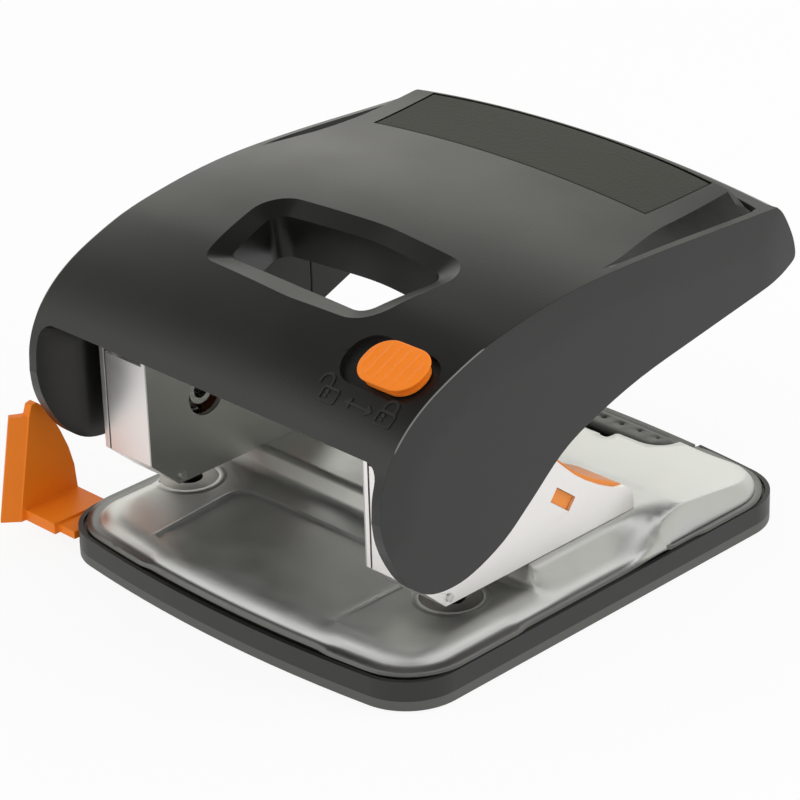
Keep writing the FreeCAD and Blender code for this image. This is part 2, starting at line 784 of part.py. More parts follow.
def crown(y, x):
    """How far the top swells above its ridge line at the sides."""
    along = (y - RIDGE[0][0]) / (RIDGE[-1][0] - RIDGE[0][0])
    height = crown_front * min(1, along / crown_run) + (crown_rear - crown_front) * along
    return height * (1 - (x / cover_half_width) ** 2)


def curve(points, x):
    spline = Part.BSplineCurve()
    spline.interpolate([V(x, y, z) for y, z in points])
    return spline.toShape()


def cover_section(x, drop):
    top = [(y, z + crown(y, x) - drop) for y, z in RIDGE]
    lower = [(y, z - drop) for y, z in SKIRT]
    rear = Part.makeLine(V(x, *top[-1]), V(x, *lower[0]))
    return Part.Wire([curve(top, x), rear, curve(lower, x)])


def cover_body(drop=0.0):
    """The whole outer form of the cover, sunk by drop."""
    sections = [cover_section(cover_half_width * share, drop) for share in COVER_SHARES]
    return Part.makeLoft(sections, True, False)


def inward(points, distance):
    """The points moved square to their own line by distance, towards the right of travel."""
    moved = []
    for i, (y, z) in enumerate(points):
        y0, z0 = points[max(i - 1, 0)]
        y1, z1 = points[min(i + 1, len(points) - 1)]
        length = math.hypot(y1 - y0, z1 - z0)
        moved.append((y + distance * (z1 - z0) / length, z - distance * (y1 - y0) / length))
    return moved


def cavity_section(x):
    """The hollow under the cover: a wall inside the ridge, open below, with a straight front lip."""
    top = inward([(y, z + crown(y, x)) for y, z in RIDGE[2:]], wall)
    lip = (top[0][0], pivot_z + front_lip)
    rear = (top[-1][0] - wall / 2, top[-1][1])
    foot_y = SKIRT[0][0] - 1.2 * wall
    before_y = RIDGE[0][0] - 3 * wall
    below = [rear, (foot_y, SKIRT[0][1]), (foot_y, 0), (before_y, 0), (before_y, lip[1]), lip]
    corners = [V(x, y, z) for y, z in below]
    edges = [curve([lip] + top[1:-1] + [rear], x)]
    edges += [Part.makeLine(a, b) for a, b in zip(corners, corners[1:])]
    return Part.Wire(edges)


def cover_cavity():
    sections = [cavity_section(cover_inner * share) for share in COVER_SHARES]
    return Part.makeLoft(sections, True, False)


def window_block(grow, z0, z1):
    return rounded_block(window_x - window_half_width - grow, window_x + window_half_width + grow,
                         window_y - window_half_depth - grow, window_y + window_half_depth + grow,
                         z0, z1, window_corner + grow)


def window_outline(grow, z):
    block = window_block(grow, z, z + cut_over)
    lowest = min(block.Faces, key=lambda face: face.CenterOfMass.z)
    return lowest.OuterWire


def window_cut():
    """A funnel with a rounded mouth and a straight throat through the cover."""
    mouth = Part.makeLoft([window_outline(window_flare, window_z + cut_over),
                           window_outline(0, window_z - window_bevel)], True, True)
    straight = window_block(0, window_z - 3 * window_skirt_depth, window_z)
    return turned(mouth.fuse(straight), window_tilt, window_y, window_z)


def window_skirt():
    """The wall that goes down round the window, under the cover's top."""
    skirt_block = window_block(window_wall, window_z - window_skirt_depth, window_z - wall)
    return turned(skirt_block, window_tilt, window_y, window_z)


def pad_block(grow):
    front = cover_half_width - pad_side_front + grow
    rear = cover_half_width - pad_side_rear + grow
    front_y = pivot_y + pad_front - grow
    rear_y = pivot_y + pad_rear + grow
    points = [(-front, front_y), (front, front_y), (rear, rear_y), (-rear, rear_y)]
    return plan_plate(points, pivot_z, pivot_z + 2 * window_rise)


def make_cover(body, sunk_body):
    shell = body.cut(cover_cavity())
    shell = shell.fuse(window_skirt().common(body))
    shell = shell.cut(window_cut())
    for x, y in cover_screw_places():
        boss = rod_z(x, y, web_top_z, window_z, cover_boss_diameter).common(body)
        hole = rod_z(x, y, web_z, web_top_z + cover_screw_length, cover_screw_diameter)
        shell = shell.fuse(boss).cut(hole)
    shell = shell.cut(slider_track())
    return shell.cut(pad_block(pad_groove).cut(sunk_body)).removeSplitter()


def make_pad(body, sunk_body):
    return pad_block(0).common(body).cut(sunk_body)


# ---------------------------------------------------------------- lock
def tipped_block(x0, x1, half_y, z0, z1, radius):
    """A rounded block on the sloping front of the cover; z is measured square to that slope."""
    block = rounded_block(x0, x1, slider_y - half_y, slider_y + half_y, slider_z + z0, slider_z + z1,
                          radius)
    return turned(block, slider_tilt, slider_y, slider_z)


def slider_track():
    """The sunk track for the slider's foot, with the slot for its stem."""
    left = slider_travel + slide_clear
    half = slider_length / 2
    track = tipped_block(slider_x - half - left, slider_x + half + slide_clear,
                         slider_width / 2 + slide_clear, -track_depth, 2 * wall, slider_corner)
    slot = tipped_block(slider_x - stem_length / 2 - left, slider_x + stem_length / 2 + slide_clear,
                        stem_width / 2 + slide_clear, -3 * wall, 0, stem_width / 4)
    return track.fuse(slot)


def make_slider():
    knob = tipped_block(slider_x - slider_length / 2, slider_x + slider_length / 2, slider_width / 2,
                        touch - track_depth, slider_height, slider_corner)
    pitch = slider_length / (grip_ribs + 2)
    for i in range(grip_ribs):
        x = slider_x + (i - (grip_ribs - 1) / 2) * pitch
        knob = knob.cut(tipped_block(x - rib_width / 2, x + rib_width / 2, slider_width / 2 - rib_end,
                                     slider_height - rib_depth, slider_height + cut_over,
                                     0.4 * rib_width))
    stem = tipped_block(bolt_x, bolt_x + stem_length, stem_width / 2, -stem_reach, touch - track_depth,
                        stem_width / 5)
    return join(knob, stem)


def bolt_pin_place():
    """Where the bolt's pin lies at rest, so that the pressed lever brings it to the catch hole."""
    return (pivot_y + catch_back * math.cos(turn) - catch_rise * math.sin(turn),
            pivot_z + catch_back * math.sin(turn) + catch_rise * math.cos(turn))


def bolt_strap(y, z):
    """The strap from the bolt's tongue, over the lever frame's web, back to the pin at (y, z)."""
    low = slider_z - stem_reach - bolt_thickness
    over_web = web_top_z + body_clear
    half = bolt_pin_diameter / 2
    outline = [(slider_y, low + slide_clear), (slider_y, over_web), (web_rear_y + body_clear, over_web),
               (y - half, z - half), (y + half, z - half), (y + half, z + half), (y - half, low)]
    return side_plate(outline, bolt_x, bolt_x + strap_width)


def make_lock_bolt():
    y, z = bolt_pin_place()
    tongue = tipped_block(bolt_x, bolt_x + stem_length, stem_width / 2 + bolt_lap,
                          -stem_reach - bolt_thickness, -stem_reach, stem_width / 5)
    pin = rod_x(punch_x - inner_half + body_clear, bolt_x + strap_width / 2, y, z, bolt_pin_diameter)
    return join(tongue, bolt_strap(y, z), pin)


def make_lock_catch():
    x1 = punch_x - half_bracket
    x0 = x1 - catch_thickness
    half = catch_half_width
    foot_z = bracket_top - catch_foot
    crest_z = catch_z + catch_crest
    outline = [(catch_y - half, foot_z), (catch_y + half, foot_z), (catch_y + half, catch_z),
               (catch_y + 0.4 * half, crest_z), (catch_y - 0.4 * half, crest_z),
               (catch_y - 0.75 * half, catch_z)]
    plate = side_plate(outline, x0, x1)
    return plate.cut(hole_x(x0, x1, catch_y, catch_z, bolt_pin_diameter + 2 * catch_clear))


# ---------------------------------------------------------------- paper guide
def guide_flare():
    """The fin's front edge, turned outwards to lead the paper in."""
    low = [V(fin_face_x + x, rule_middle_y + y, fin_bottom) for x, y in flare_plan]
    high = [V(p.x, p.y + flare_lean, p.z + flare_height) for p in low]
    return Part.makeLoft([Part.makePolygon(low + [low[0]]), Part.makePolygon(high + [high[0]])],
                         True, True)


def make_paper_guide():
    fin = side_plate(from_place(fin_outline, rule_middle_y, fin_bottom), fin_face_x - fin_thickness,
                     fin_face_x)
    shelf = box(fin_face_x - fin_thickness / 2, base_left - shelf_clear, rule_middle_y - shelf_front,
                rule_middle_y + shelf_rear, fin_bottom, fin_bottom + shelf_thickness)
    arm = box(base_left - 2 * shelf_clear, base_left + arm_lap, guide_arm_front_y, guide_arm_rear_y,
              rule_bottom, rule_top)
    rule = box(base_left + arm_lap - cut_over, rule_tail_x, rule_front_y, rule_rear_y, rule_bottom,
               rule_top)
    return join(fin, guide_flare(), shelf, arm, rule)


def make_guide_stop():
    return rod_z(rule_tail_x - stop_pin_inset, rule_middle_y, rule_top, rim_top - slide_clear,
                 stop_pin_diameter)


def make_guide_channel():
    """The U-shaped runner under the front of the plate that carries the guide's rule."""
    x0 = base_left + channel_inset
    x1 = base_right - channel_inset
    front = rule_front_y - slide_clear
    rear = rule_rear_y + slide_clear
    channel = box(x0, x1, front - channel_rail, rear + channel_rail, tray_floor, rule_top)
    channel = channel.cut(box(x0 - cut_over, x1 + cut_over, front, rear, rule_bottom,
                              rule_top + cut_over))
    for x, y in base_screw_places():
        channel = channel.cut(rod_z(x, y, 0, rule_top + cut_over, base_boss_diameter + slide_clear))
    return channel


# ---------------------------------------------------------------- chip drawer
def drawer_tray():
    floor_z = drawer_bottom + drawer_wall
    tray = rounded_block(drawer_left, drawer_right, drawer_front_y, drawer_rear_y + cut_over,
                         drawer_bottom, drawer_top, drawer_corner)
    hollow = rounded_block(drawer_left + drawer_wall, drawer_right - drawer_wall,
                           drawer_front_y + drawer_wall, drawer_rear_y - drawer_wall, floor_z,
                           drawer_top + cut_over, drawer_corner - drawer_wall)
    return tray.cut(hollow)


def drawer_grip():
    """The sloping tab that shows in the rear deck, with a neck out through the rim."""
    x = base_centre_x
    under = [(y, z - grip_thickness) for y, z in reversed(grip_top[1:])]
    under.append((base_half_depth, rim_top - touch))
    grip = side_plate(grip_top + under, x - grip_half_width, x + grip_half_width)
    grip = grip.common(base_block(0, 0, deck_top)).common(grip_plan(0))
    near_y = base_half_depth - base_bow - cut_over
    for side in (-1, 1):
        near = x + side * neck_half_width
        far = x + side * (grip_half_width + cut_over)
        grip = grip.cut(plan_plate([(near, base_half_depth), (near, near_y), (far, near_y - drawer_face),
                                    (far, base_half_depth)], 0, deck_top))
    return grip


def make_drawer():
    x = base_centre_x
    face = base_block(0, drawer_bottom, rim_top - touch)
    face = face.common(box(drawer_left, drawer_right, drawer_rear_y, base_half_depth, drawer_bottom,
                           rim_top - touch))
    neck = base_block(0, rim_top - grip_thickness, rim_top + lip_height - touch)
    neck = neck.common(box(x - neck_half_width, x + neck_half_width, base_half_depth - neck_depth,
                           base_half_depth, rim_top - grip_thickness, deck_top))
    return join(drawer_tray(), face, drawer_grip(), neck)


# ---------------------------------------------------------------- build
def build_base():
    save("base_pan", make_pan())
    save("base_mat", make_mat())
    save("base_screws", make_base_screws())
    save("base_rim", make_rim())
    save("base_plate", make_base_plate())
    save("guide_channel", make_guide_channel())


def build_brackets():
    for name, x in SIDES:
        save(name + "_die", make_die(x))
        save(name + "_bracket", make_bracket(x))
        save(name + "_spacer_block", make_spacer_block(x))
        save(name + "_pin_guide", make_pin_guide(x))
        save(name + "_punch_pin", make_punch_pin(x))
        save(name + "_drive_pin", make_drive_pin(x))
        save(name + "_return_spring", make_spring(x))
    save("bracket_rivets", make_rivets())
    save("nose_pins", make_nose_pins())
    save("pivot_shaft", make_pivot_shaft())
    save("pivot_clips", make_pivot_clips())
    save("lock_catch", make_lock_catch())


def build_lever():
    body = cover_body()
    sunk_body = cover_body(pad_depth)
    save("handle_cover", make_cover(body, sunk_body))
    save("grip_pad", make_pad(body, sunk_body))
    save("lever_frame", make_lever_frame())
    save("left_lever_arm", make_lever_arm(-1))
    save("right_lever_arm", make_lever_arm(1))
    save("cover_screws", make_cover_screws())
    save("lock_slider", make_slider())
    save("lock_bolt", make_lock_bolt())


def build_slides():
    save("paper_guide", make_paper_guide())
    save("guide_stop", make_guide_stop())
    save("chip_drawer", make_drawer())


build_base()
build_brackets()
build_lever()
build_slides()
print(f"pin stroke {pin_stroke:.2f} mm, {pin_stroke / turn:.3f} mm per radian of the lever")
print(f"travels: guide {guide_travel:.1f} mm, drawer {drawer_travel:.1f} mm, lock {slider_travel:.1f} mm")
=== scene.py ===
# %% [markdown]
# # A desk hole punch, dressed for its pictures
#
# The punch is a pressed steel base in a dark plastic rim, with two folded steel brackets. A broad
# plastic lever covers them and turns on a shaft. An orange guide slides out at the left, and the tray
# for the chips slides out at the rear. The frame holds every working piece at its real size. Here the
# pieces that show get the soft forms and the finishes of pressed, moulded and turned work.

# %% The frame and its box
import json
import math
from collections import Counter
import bmesh
import bpy
from mathutils import Matrix, Vector
from mathutils.geometry import delaunay_2d_cdt

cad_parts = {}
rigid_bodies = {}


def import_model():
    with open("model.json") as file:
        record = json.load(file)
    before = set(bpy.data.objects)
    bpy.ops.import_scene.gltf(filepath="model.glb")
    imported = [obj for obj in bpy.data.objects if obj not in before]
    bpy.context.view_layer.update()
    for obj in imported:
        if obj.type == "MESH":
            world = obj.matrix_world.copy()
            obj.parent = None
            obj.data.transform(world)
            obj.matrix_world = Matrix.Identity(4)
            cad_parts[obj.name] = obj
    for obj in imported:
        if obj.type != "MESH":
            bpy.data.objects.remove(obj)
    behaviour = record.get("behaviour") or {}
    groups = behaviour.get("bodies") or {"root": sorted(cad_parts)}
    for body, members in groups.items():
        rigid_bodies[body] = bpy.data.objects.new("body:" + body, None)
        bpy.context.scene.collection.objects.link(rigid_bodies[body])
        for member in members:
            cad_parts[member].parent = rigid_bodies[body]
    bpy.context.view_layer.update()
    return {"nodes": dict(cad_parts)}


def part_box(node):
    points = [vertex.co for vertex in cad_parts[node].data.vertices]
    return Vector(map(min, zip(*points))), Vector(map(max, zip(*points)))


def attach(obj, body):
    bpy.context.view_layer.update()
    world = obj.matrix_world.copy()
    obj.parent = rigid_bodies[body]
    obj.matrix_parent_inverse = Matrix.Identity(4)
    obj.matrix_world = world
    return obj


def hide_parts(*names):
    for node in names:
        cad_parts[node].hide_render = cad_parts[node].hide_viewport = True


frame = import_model()
print("nodes:", len(frame["nodes"]))

# %% [markdown]
# ## Working in millimetres
#
# The sizes below are the real ones, in millimetres, and a helper turns them into Blender's metres at
# the last moment. The places come from the frame: `box_mm` gives the corners of a node.

# %% Sizes and places
MM = 0.001


def box_mm(node):
    low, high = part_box(node)
    return low / MM, high / MM


plate_low, plate_high = box_mm("base_plate")
rim_low, rim_high = box_mm("base_rim")
cover_high = box_mm("handle_cover")[1]
shaft_low, shaft_high = box_mm("pivot_shaft")
die_low, die_high = box_mm("right_die")
drawer_low = box_mm("chip_drawer")[0]
pivot_y = (shaft_low.y + shaft_high.y) / 2
pivot_z = (shaft_low.z + shaft_high.z) / 2
punch_x = (die_low.x + die_high.x) / 2
punch_y = (die_low.y + die_high.y) / 2
base_middle = (plate_low.x + plate_high.x) / 2
print(f"shaft at y {pivot_y:.1f}, z {pivot_z:.1f}; holes at x {punch_x:.1f}, y {punch_y:.1f}")

# %% [markdown]
# ## Mesh helpers
#
# Pressed and moulded pieces are thin walls with soft edges. Most are made the same way: an outline with
# rounded corners, a sheet of small triangles inside it, a height for each of its points, and a wall
# thickness. Points laid along the outlines keep every edge crisp, which a plain grid would not.

# %% Numbers and lines


def share_of(value, low, high):
    return min(1.0, max(0.0, (value - low) / (high - low)))


def smooth_step(value, low, high):
    share = share_of(value, low, high)
    return share * share * (3 - 2 * share)


def pairs(loop):
    """Each point of a closed loop with the next one."""
    return list(zip(loop, loop[1:] + loop[:1]))


def across(half, count=24):
    """Evenly spaced values from -half to half."""
    return [half * (k / count - 1) for k in range(2 * count + 1)]


def distance_to(spans, x, y):
    """How far a place is from the nearest of some straight spans."""
    nearest = math.inf
    for (ax, ay), (bx, by) in spans:
        run = max(1e-9, (bx - ax) ** 2 + (by - ay) ** 2)
        t = min(1.0, max(0.0, ((x - ax) * (bx - ax) + (y - ay) * (by - ay)) / run))
        nearest = min(nearest, math.dist((x, y), (ax + (bx - ax) * t, ay + (by - ay) * t)))
    return nearest


def inside(point, loop):
    """Whether a point lies inside a closed loop."""
    x, y = point
    found = False
    for (ax, ay), (bx, by) in pairs(loop):
        if (ay > y) != (by > y) and x < (bx - ax) * (y - ay) / (by - ay) + ax:
            found = not found
    return found


print("a smooth step:", [round(smooth_step(k, 0, 4), 2) for k in range(5)])

# %% Outlines


def rounded(corners, steps=6):
    """A closed outline through (x, y, radius) corners, each turned into an arc."""
    loop = []
    for i, (x, y, radius) in enumerate(corners):
        here = Vector((x, y))
        before = (Vector(corners[i - 1][:2]) - here).normalized()
        after = (Vector(corners[(i + 1) % len(corners)][:2]) - here).normalized()
        if not radius:
            loop.append((x, y))
            continue
        half_turn = before.angle(after) / 2
        reach = radius / math.tan(half_turn)
        centre = here + (before + after).normalized() * radius / math.sin(half_turn)
        first = here + before * reach - centre
        sweep = first.angle_signed(here + after * reach - centre)
        for k in range(steps + 1):
            spoke = first.copy()
            spoke.rotate(Matrix.Rotation(-sweep * k / steps, 2))
            loop.append(tuple(centre + spoke))
    return loop


def evenly(loop, spacing, closed=True):
    """The same line with points no further apart than the spacing."""
    points = []
    for a, b in pairs(loop) if closed else zip(loop, loop[1:]):
        count = max(1, math.ceil(math.dist(a, b) / spacing))
        for k in range(count):
            points.append(tuple(p + (q - p) * k / count for p, q in zip(a, b)))
    return points if closed else points + [tuple(loop[-1])]


def curve_through(points, per_span=6):
    """A smooth line through the given points."""
    path = [2 * Vector(points[0]) - Vector(points[1])] + [Vector(p) for p in points]
    path.append(2 * Vector(points[-1]) - Vector(points[-2]))
    line = []
    for a, b, c, d in zip(path, path[1:], path[2:], path[3:]):
        for k in range(per_span):
            t = k / per_span
            bend = 2 * b + (c - a) * t + (2 * a - 5 * b + 4 * c - d) * t * t
            line.append(tuple((bend + (3 * b - a - 3 * c + d) * t ** 3) / 2))
    return line + [tuple(points[-1])]


def circle(x, y, radius, count=40):
    turns = [2 * math.pi * k / count for k in range(count)]
    return [(x + radius * math.cos(a), y + radius * math.sin(a)) for a in turns]


print("a rounded square:", len(rounded([(0, 0, 1), (0, 4, 1), (4, 4, 1), (4, 0, 1)])), "points")

# %% Sheets of triangles


def sheet_faces(outline, holes=(), lines=(), spacing=2.0, keep_off=0.55):
    """Triangles filling an outline, with holes and with extra lines laid in. Gives points and faces."""
    cell = spacing * keep_off
    points, edges, taken = [], [], {}
    for line, closed in [(loop, True) for loop in (outline, *holes)] + [(line, False) for line in lines]:
        start, count = len(points), len(line)
        points += line
        edges += [(start + k, start + (k + 1) % count) for k in range(count if closed else count - 1)]
        for p in evenly(line, cell, closed):
            taken.setdefault((int(p[0] // cell), int(p[1] // cell)), []).append(p)

    def crowded(x, y):
        column, row = int(x // cell), int(y // cell)
        near = [(column + i, row + j) for i in (-1, 0, 1) for j in (-1, 0, 1)]
        return any(math.dist((x, y), p) < cell for key in near for p in taken.get(key, ()))

    xs, ys = zip(*outline)
    rows = 0.866  # the height of an even triangle
    for j in range(int((max(ys) - min(ys)) / (spacing * rows)) + 1):
        y = min(ys) + (j + 0.5) * spacing * rows
        for i in range(int((max(xs) - min(xs)) / spacing) + 1):
            x = min(xs) + (i + 0.5 * (j % 2) + 0.25) * spacing
            if inside((x, y), outline) and not crowded(x, y):
                points.append((x, y))
    made = delaunay_2d_cdt([Vector(p) for p in points], edges, [], 0, 1e-5)
    places = [tuple(p) for p in made[0]]
    faces = []
    for face in made[2]:
        (ax, ay), (bx, by), (cx, cy) = corners = [places[v] for v in face]
        middle = ((ax + bx + cx) / 3, (ay + by + cy) / 3)
        longest = max(math.dist(a, b) for a, b in pairs(corners))
        sliver = abs((bx - ax) * (cy - ay) - (cx - ax) * (by - ay)) < 1e-3 * longest ** 2
        if not sliver and inside(middle, outline) and not any(inside(middle, hole) for hole in holes):
            faces.append(tuple(face))
    used = sorted({v for face in faces for v in face})
    order = {v: k for k, v in enumerate(used)}
    return [places[v] for v in used], [tuple(order[v] for v in face) for face in faces]


print("a disc:", len(sheet_faces(circle(0, 0, 10))[1]), "triangles")

# %% Solids and pieces


def rings(sections):
    """A closed solid through equal loops, one after the other, as (points, faces)."""
    count = len(sections[0])
    points = [p for section in sections for p in section]
    last = len(points) - count
    faces = [(start + a, start + b, start + count + b, start + count + a)
             for start in range(0, last, count) for a, b in pairs(list(range(count)))]
    return points, faces + [tuple(reversed(range(count))), tuple(range(last, len(points)))]


def new_piece(name, points, faces, finish, crease=32.0):
    """A mesh object from points in millimetres, smooth but for its sharp edges."""
    mesh = bpy.data.meshes.new(name)
    mesh.from_pydata([tuple(c * MM for c in p) for p in points], [], faces)
    mesh.validate()
    shape = bmesh.new()
    shape.from_mesh(mesh)
    bmesh.ops.remove_doubles(shape, verts=shape.verts, dist=1e-7)
    bmesh.ops.recalc_face_normals(shape, faces=shape.faces)
    shape.to_mesh(mesh)
    shape.free()
    mesh.shade_smooth()
    mesh.set_sharp_from_angle(angle=math.radians(crease))
    piece = bpy.data.objects.new(name, mesh)
    bpy.context.scene.collection.objects.link(piece)
    mesh.materials.append(finish)
    return piece


def sheet(name, points, faces, finish, crease, thickness):
    """A sheet that faces up, with a wall of even thickness under it."""
    piece = new_piece(name, points, faces, finish, crease)
    if sum(polygon.normal.z for polygon in piece.data.polygons) < 0:
        piece.data.flip_normals()
    wall = piece.modifiers.new("wall", "SOLIDIFY")
    wall.thickness = thickness * MM
    wall.offset = -1.0
    wall.use_even_offset = True
    return piece


def soften(piece, radius, segments=2, angle=32.0, limit="ANGLE"):
    """Small fillets on the sharp edges, as every moulded or pressed edge has."""
    fillet = piece.modifiers.new("fillet", "BEVEL")
    fillet.width = radius * MM
    fillet.segments = segments
    fillet.limit_method = limit
    fillet.angle_limit = math.radians(angle)
    fillet.miter_outer = "MITER_ARC"
    piece.modifiers.new("shade", "WEIGHTED_NORMAL").weight = 60


def place(piece, body, slot, *nodes):
    """The piece rides on its body and stands for its nodes; the slot is not used."""
    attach(piece, body)
    if nodes:
        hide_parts(*nodes)
    low, high = (Vector(map(pick, *[v.co for v in piece.data.vertices])) / MM for pick in (min, max))
    spans = [f"{axis} {a:.1f}..{b:.1f}" for axis, a, b in zip("xyz", low, high)]
    print(f"{piece.name}: {len(piece.data.polygons)} faces,", ", ".join(spans))


# %% [markdown]
# ## Effects shared by the finishes
#
# Nothing real has one flat colour. Three effects come back in most of the finishes: soft patches where
# the tone drifts, the fine grain that a mould or a roller leaves, and long hair scratches. Each is a
# node group with named inputs, so a finish only says how much of it there is.

# %% A helper for node trees


def feed(node, inputs):
    """Sets the inputs of a node to values, or links them to sockets or to the first output of nodes."""
    for key, value in inputs.items():
        if isinstance(value, bpy.types.Node):
            value = value.outputs[0]
        if isinstance(value, bpy.types.NodeSocket):
            node.id_data.links.new(value, node.inputs[key])
        else:
            node.inputs[key].default_value = value
    return node


def add_node(tree, kind, inputs=(), **settings):
    """A shader node with its settings made and its inputs fed."""
    made = tree.nodes.new("ShaderNode" + kind)
    for key, value in settings.items():
        setattr(made, key, value)
    return feed(made, dict(inputs))


def add_math(tree, operation, *values, clamp=False):
    """A calculation on numbers and sockets."""
    return add_node(tree, "Math", enumerate(values), operation=operation, use_clamp=clamp)


VALUE, VECTOR = "NodeSocketFloat", "NodeSocketVector"


def new_group(name, inputs, output):
    """A shader node group with named sockets, as (tree, its inputs, its output node)."""
    tree = bpy.data.node_groups.new(name, "ShaderNodeTree")
    for label, kind, value in inputs:
        socket = tree.interface.new_socket(label, in_out="INPUT", socket_type=kind)
        if value is not None:
            socket.default_value = value
    tree.interface.new_socket(output, in_out="OUTPUT", socket_type=VALUE)
    print("made", name)
    return tree, tree.nodes.new("NodeGroupInput").outputs, tree.nodes.new("NodeGroupOutput")


# %% Soft patches
patches, given, result = new_group(
    "soft_patches", [("Place", VECTOR, None), ("Scale", VALUE, 60.0)], "Value")
cloud = add_node(patches, "TexNoise", {
    "Vector": given["Place"], "Scale": given["Scale"], "Detail": 3.0, "Roughness": 0.55})
spread = add_node(patches, "MapRange", {"Value": cloud, "From Min": 0.3, "From Max": 0.7})
feed(result, {"Value": spread})

# %% Fine grain
grain, given, result = new_group("fine_grain", [("Place", VECTOR, None), ("Scale", VALUE, 2500.0)], "Height")
at_scale = {"Vector": given["Place"], "Scale": given["Scale"]}
cells = add_node(grain, "TexVoronoi", at_scale, feature="SMOOTH_F1")
dust = add_node(grain, "TexNoise", {**at_scale, "Detail": 2.0})
feed(result, {"Height": add_math(grain, "ADD", cells, dust)})

# %% Hair scratches
drawn_out = (60.0, 2500.0, 2500.0)  # the hairs run along x
hairs, given, result = new_group(
    "hair_scratches",
    [("Place", VECTOR, None), ("Stretch", VECTOR, drawn_out), ("Amount", VALUE, 1.0)], "Value")
drawn = add_node(hairs, "VectorMath", {0: given["Place"], 1: given["Stretch"]}, operation="MULTIPLY")
lines = add_node(hairs, "TexNoise", {"Vector": drawn, "Scale": 1.0, "Detail": 4.0})
kept = add_node(hairs, "MapRange", {
    "Value": lines, "From Min": 0.35, "From Max": 0.65, "To Max": given["Amount"]})
feed(result, {"Value": kept})

# %% [markdown]
# ## Two families of finish
#
# The punch is metal or plastic. Both have a tone and a gloss that drift in patches over a fine grain.
# Metal shows its surroundings, so most of its look is in the roughness and in faint scratches. Moulded
# plastic has a colour of its own under a satin skin.

# %% What they share


def mixed(tree, share, color, other):
    """A colour that goes from the first one to the other, the colour or socket, with a share."""
    return add_node(tree, "Mix", {0: share, 6: (*color, 1), 7: other}, data_type="RGBA").outputs[2]


def drifting(name, color, roughness, patch, patch_scale, grain_scale, grain_depth, depth, tint):
    """A drifting tone and gloss over a grain, as (material, its shader, its place, its roughness)."""
    made = bpy.data.materials.new(name)
    made.use_nodes = True
    made.diffuse_color = (*color, 1)
    tree = made.node_tree
    shader = tree.nodes["Principled BSDF"]
    at = add_node(tree, "TexCoord").outputs["Object"]
    drift = add_node(tree, "Group", node_tree=patches)
    fine = add_node(tree, "Group", node_tree=grain)
    feed(drift, {"Place": at, "Scale": patch_scale})
    feed(fine, {"Place": at, "Scale": grain_scale})
    rough = add_math(tree, "MULTIPLY_ADD", drift, patch, roughness)
    bump = add_node(tree, "Bump", {"Height": fine, "Strength": grain_depth, "Distance": depth})
    dark = tuple(c * tint for c in color)
    feed(shader, {"Base Color": mixed(tree, drift, dark, (*color, 1)), "Roughness": rough, "Normal": bump})
    return made, shader, at, rough


print("to share:", [group.name for group in bpy.data.node_groups])

# %% Metal


def metal(name, color, roughness, patch=0.08, tint=0.9, scratch=0.1, stretch=drawn_out, dent=0.02):
    """A metal finish, rubbed with hair scratches."""
    made, shader, at, rough = drifting(
        name, color, roughness - patch, 2 * patch, 90.0, 900.0, dent, 0.0002, tint)
    tree = made.node_tree
    marks = add_node(tree, "Group", node_tree=hairs)
    feed(marks, {"Place": at, "Stretch": stretch, "Amount": scratch})
    feed(shader, {"Roughness": add_math(tree, "ADD", rough, marks), "Metallic": 1.0})
    print("metal:", name)
    return made


def painted_shade_below(made, axis, low, high, color):
    """Paints shade on a metal: a darker colour where its place on an axis is less than low, fading out up to
    high.
    """
    tree = made.node_tree
    shader = tree.nodes["Principled BSDF"]
    unshaded_color = shader.inputs["Base Color"].links[0].from_socket
    at = add_node(tree, "TexCoord").outputs["Object"]
    reach = add_math(tree, "ABSOLUTE", add_node(tree, "SeparateXYZ", {0: at}).outputs[axis])
    share = add_node(tree, "MapRange", {"Value": reach, "From Min": low, "From Max": high})
    feed(shader, {"Base Color": mixed(tree, share, color, unshaded_color)})


pressed = {"patch": 0.05, "tint": 0.93, "scratch": 0.03}
steel = metal("pressed_steel_skin", (0.55, 0.555, 0.54), 0.4, **pressed)
base_steel = metal("base_steel_skin", (0.55, 0.555, 0.54), 0.4, **pressed)
# Painted shade: the flange in the rim lies in the shade of the rounding, and the inner faces of the brackets
# lie in the shade of the cover, so both are darkened.
painted_shade_below(base_steel, "Z", 0.00762, 0.00795, (0.15, 0.15, 0.145))
bracket_steel = metal("bracket_steel_skin", (0.9, 0.88, 0.86), 0.42, patch=0.04, tint=0.96, scratch=0.02)
# Painted shade on the inner faces of the brackets, which lie under the cover.
painted_shade_below(bracket_steel, "X", 0.03289, 0.03291, (0.47, 0.47, 0.45))
drawn_deep = (2500.0, 60.0, 2500.0)  # the hairs run along y
bright_steel = metal("turned_steel_skin", (0.66, 0.66, 0.64), 0.22, patch=0.03, stretch=drawn_deep)
dark_steel = metal("tool_steel_skin", (0.34, 0.33, 0.31), 0.3, patch=0.05)
spring_metal = metal("spring_wire_skin", (0.5, 0.5, 0.48), 0.25, patch=0.05)
screw_metal = metal("screw_head_skin", (0.55, 0.55, 0.52), 0.28, patch=0.06)

# %% Moulded plastic


def plastic(name, color, roughness, gloss=0.5, patch=0.05, grain_scale=2600.0, grain_depth=0.15, tint=0.9):
    """A moulded finish under a satin skin."""
    made, shader, *_ = drifting(
        name, color, roughness, patch, 50.0, grain_scale, grain_depth, 0.00012, tint)
    feed(shader, {"Specular IOR Level": gloss})
    print("plastic:", name)
    return made


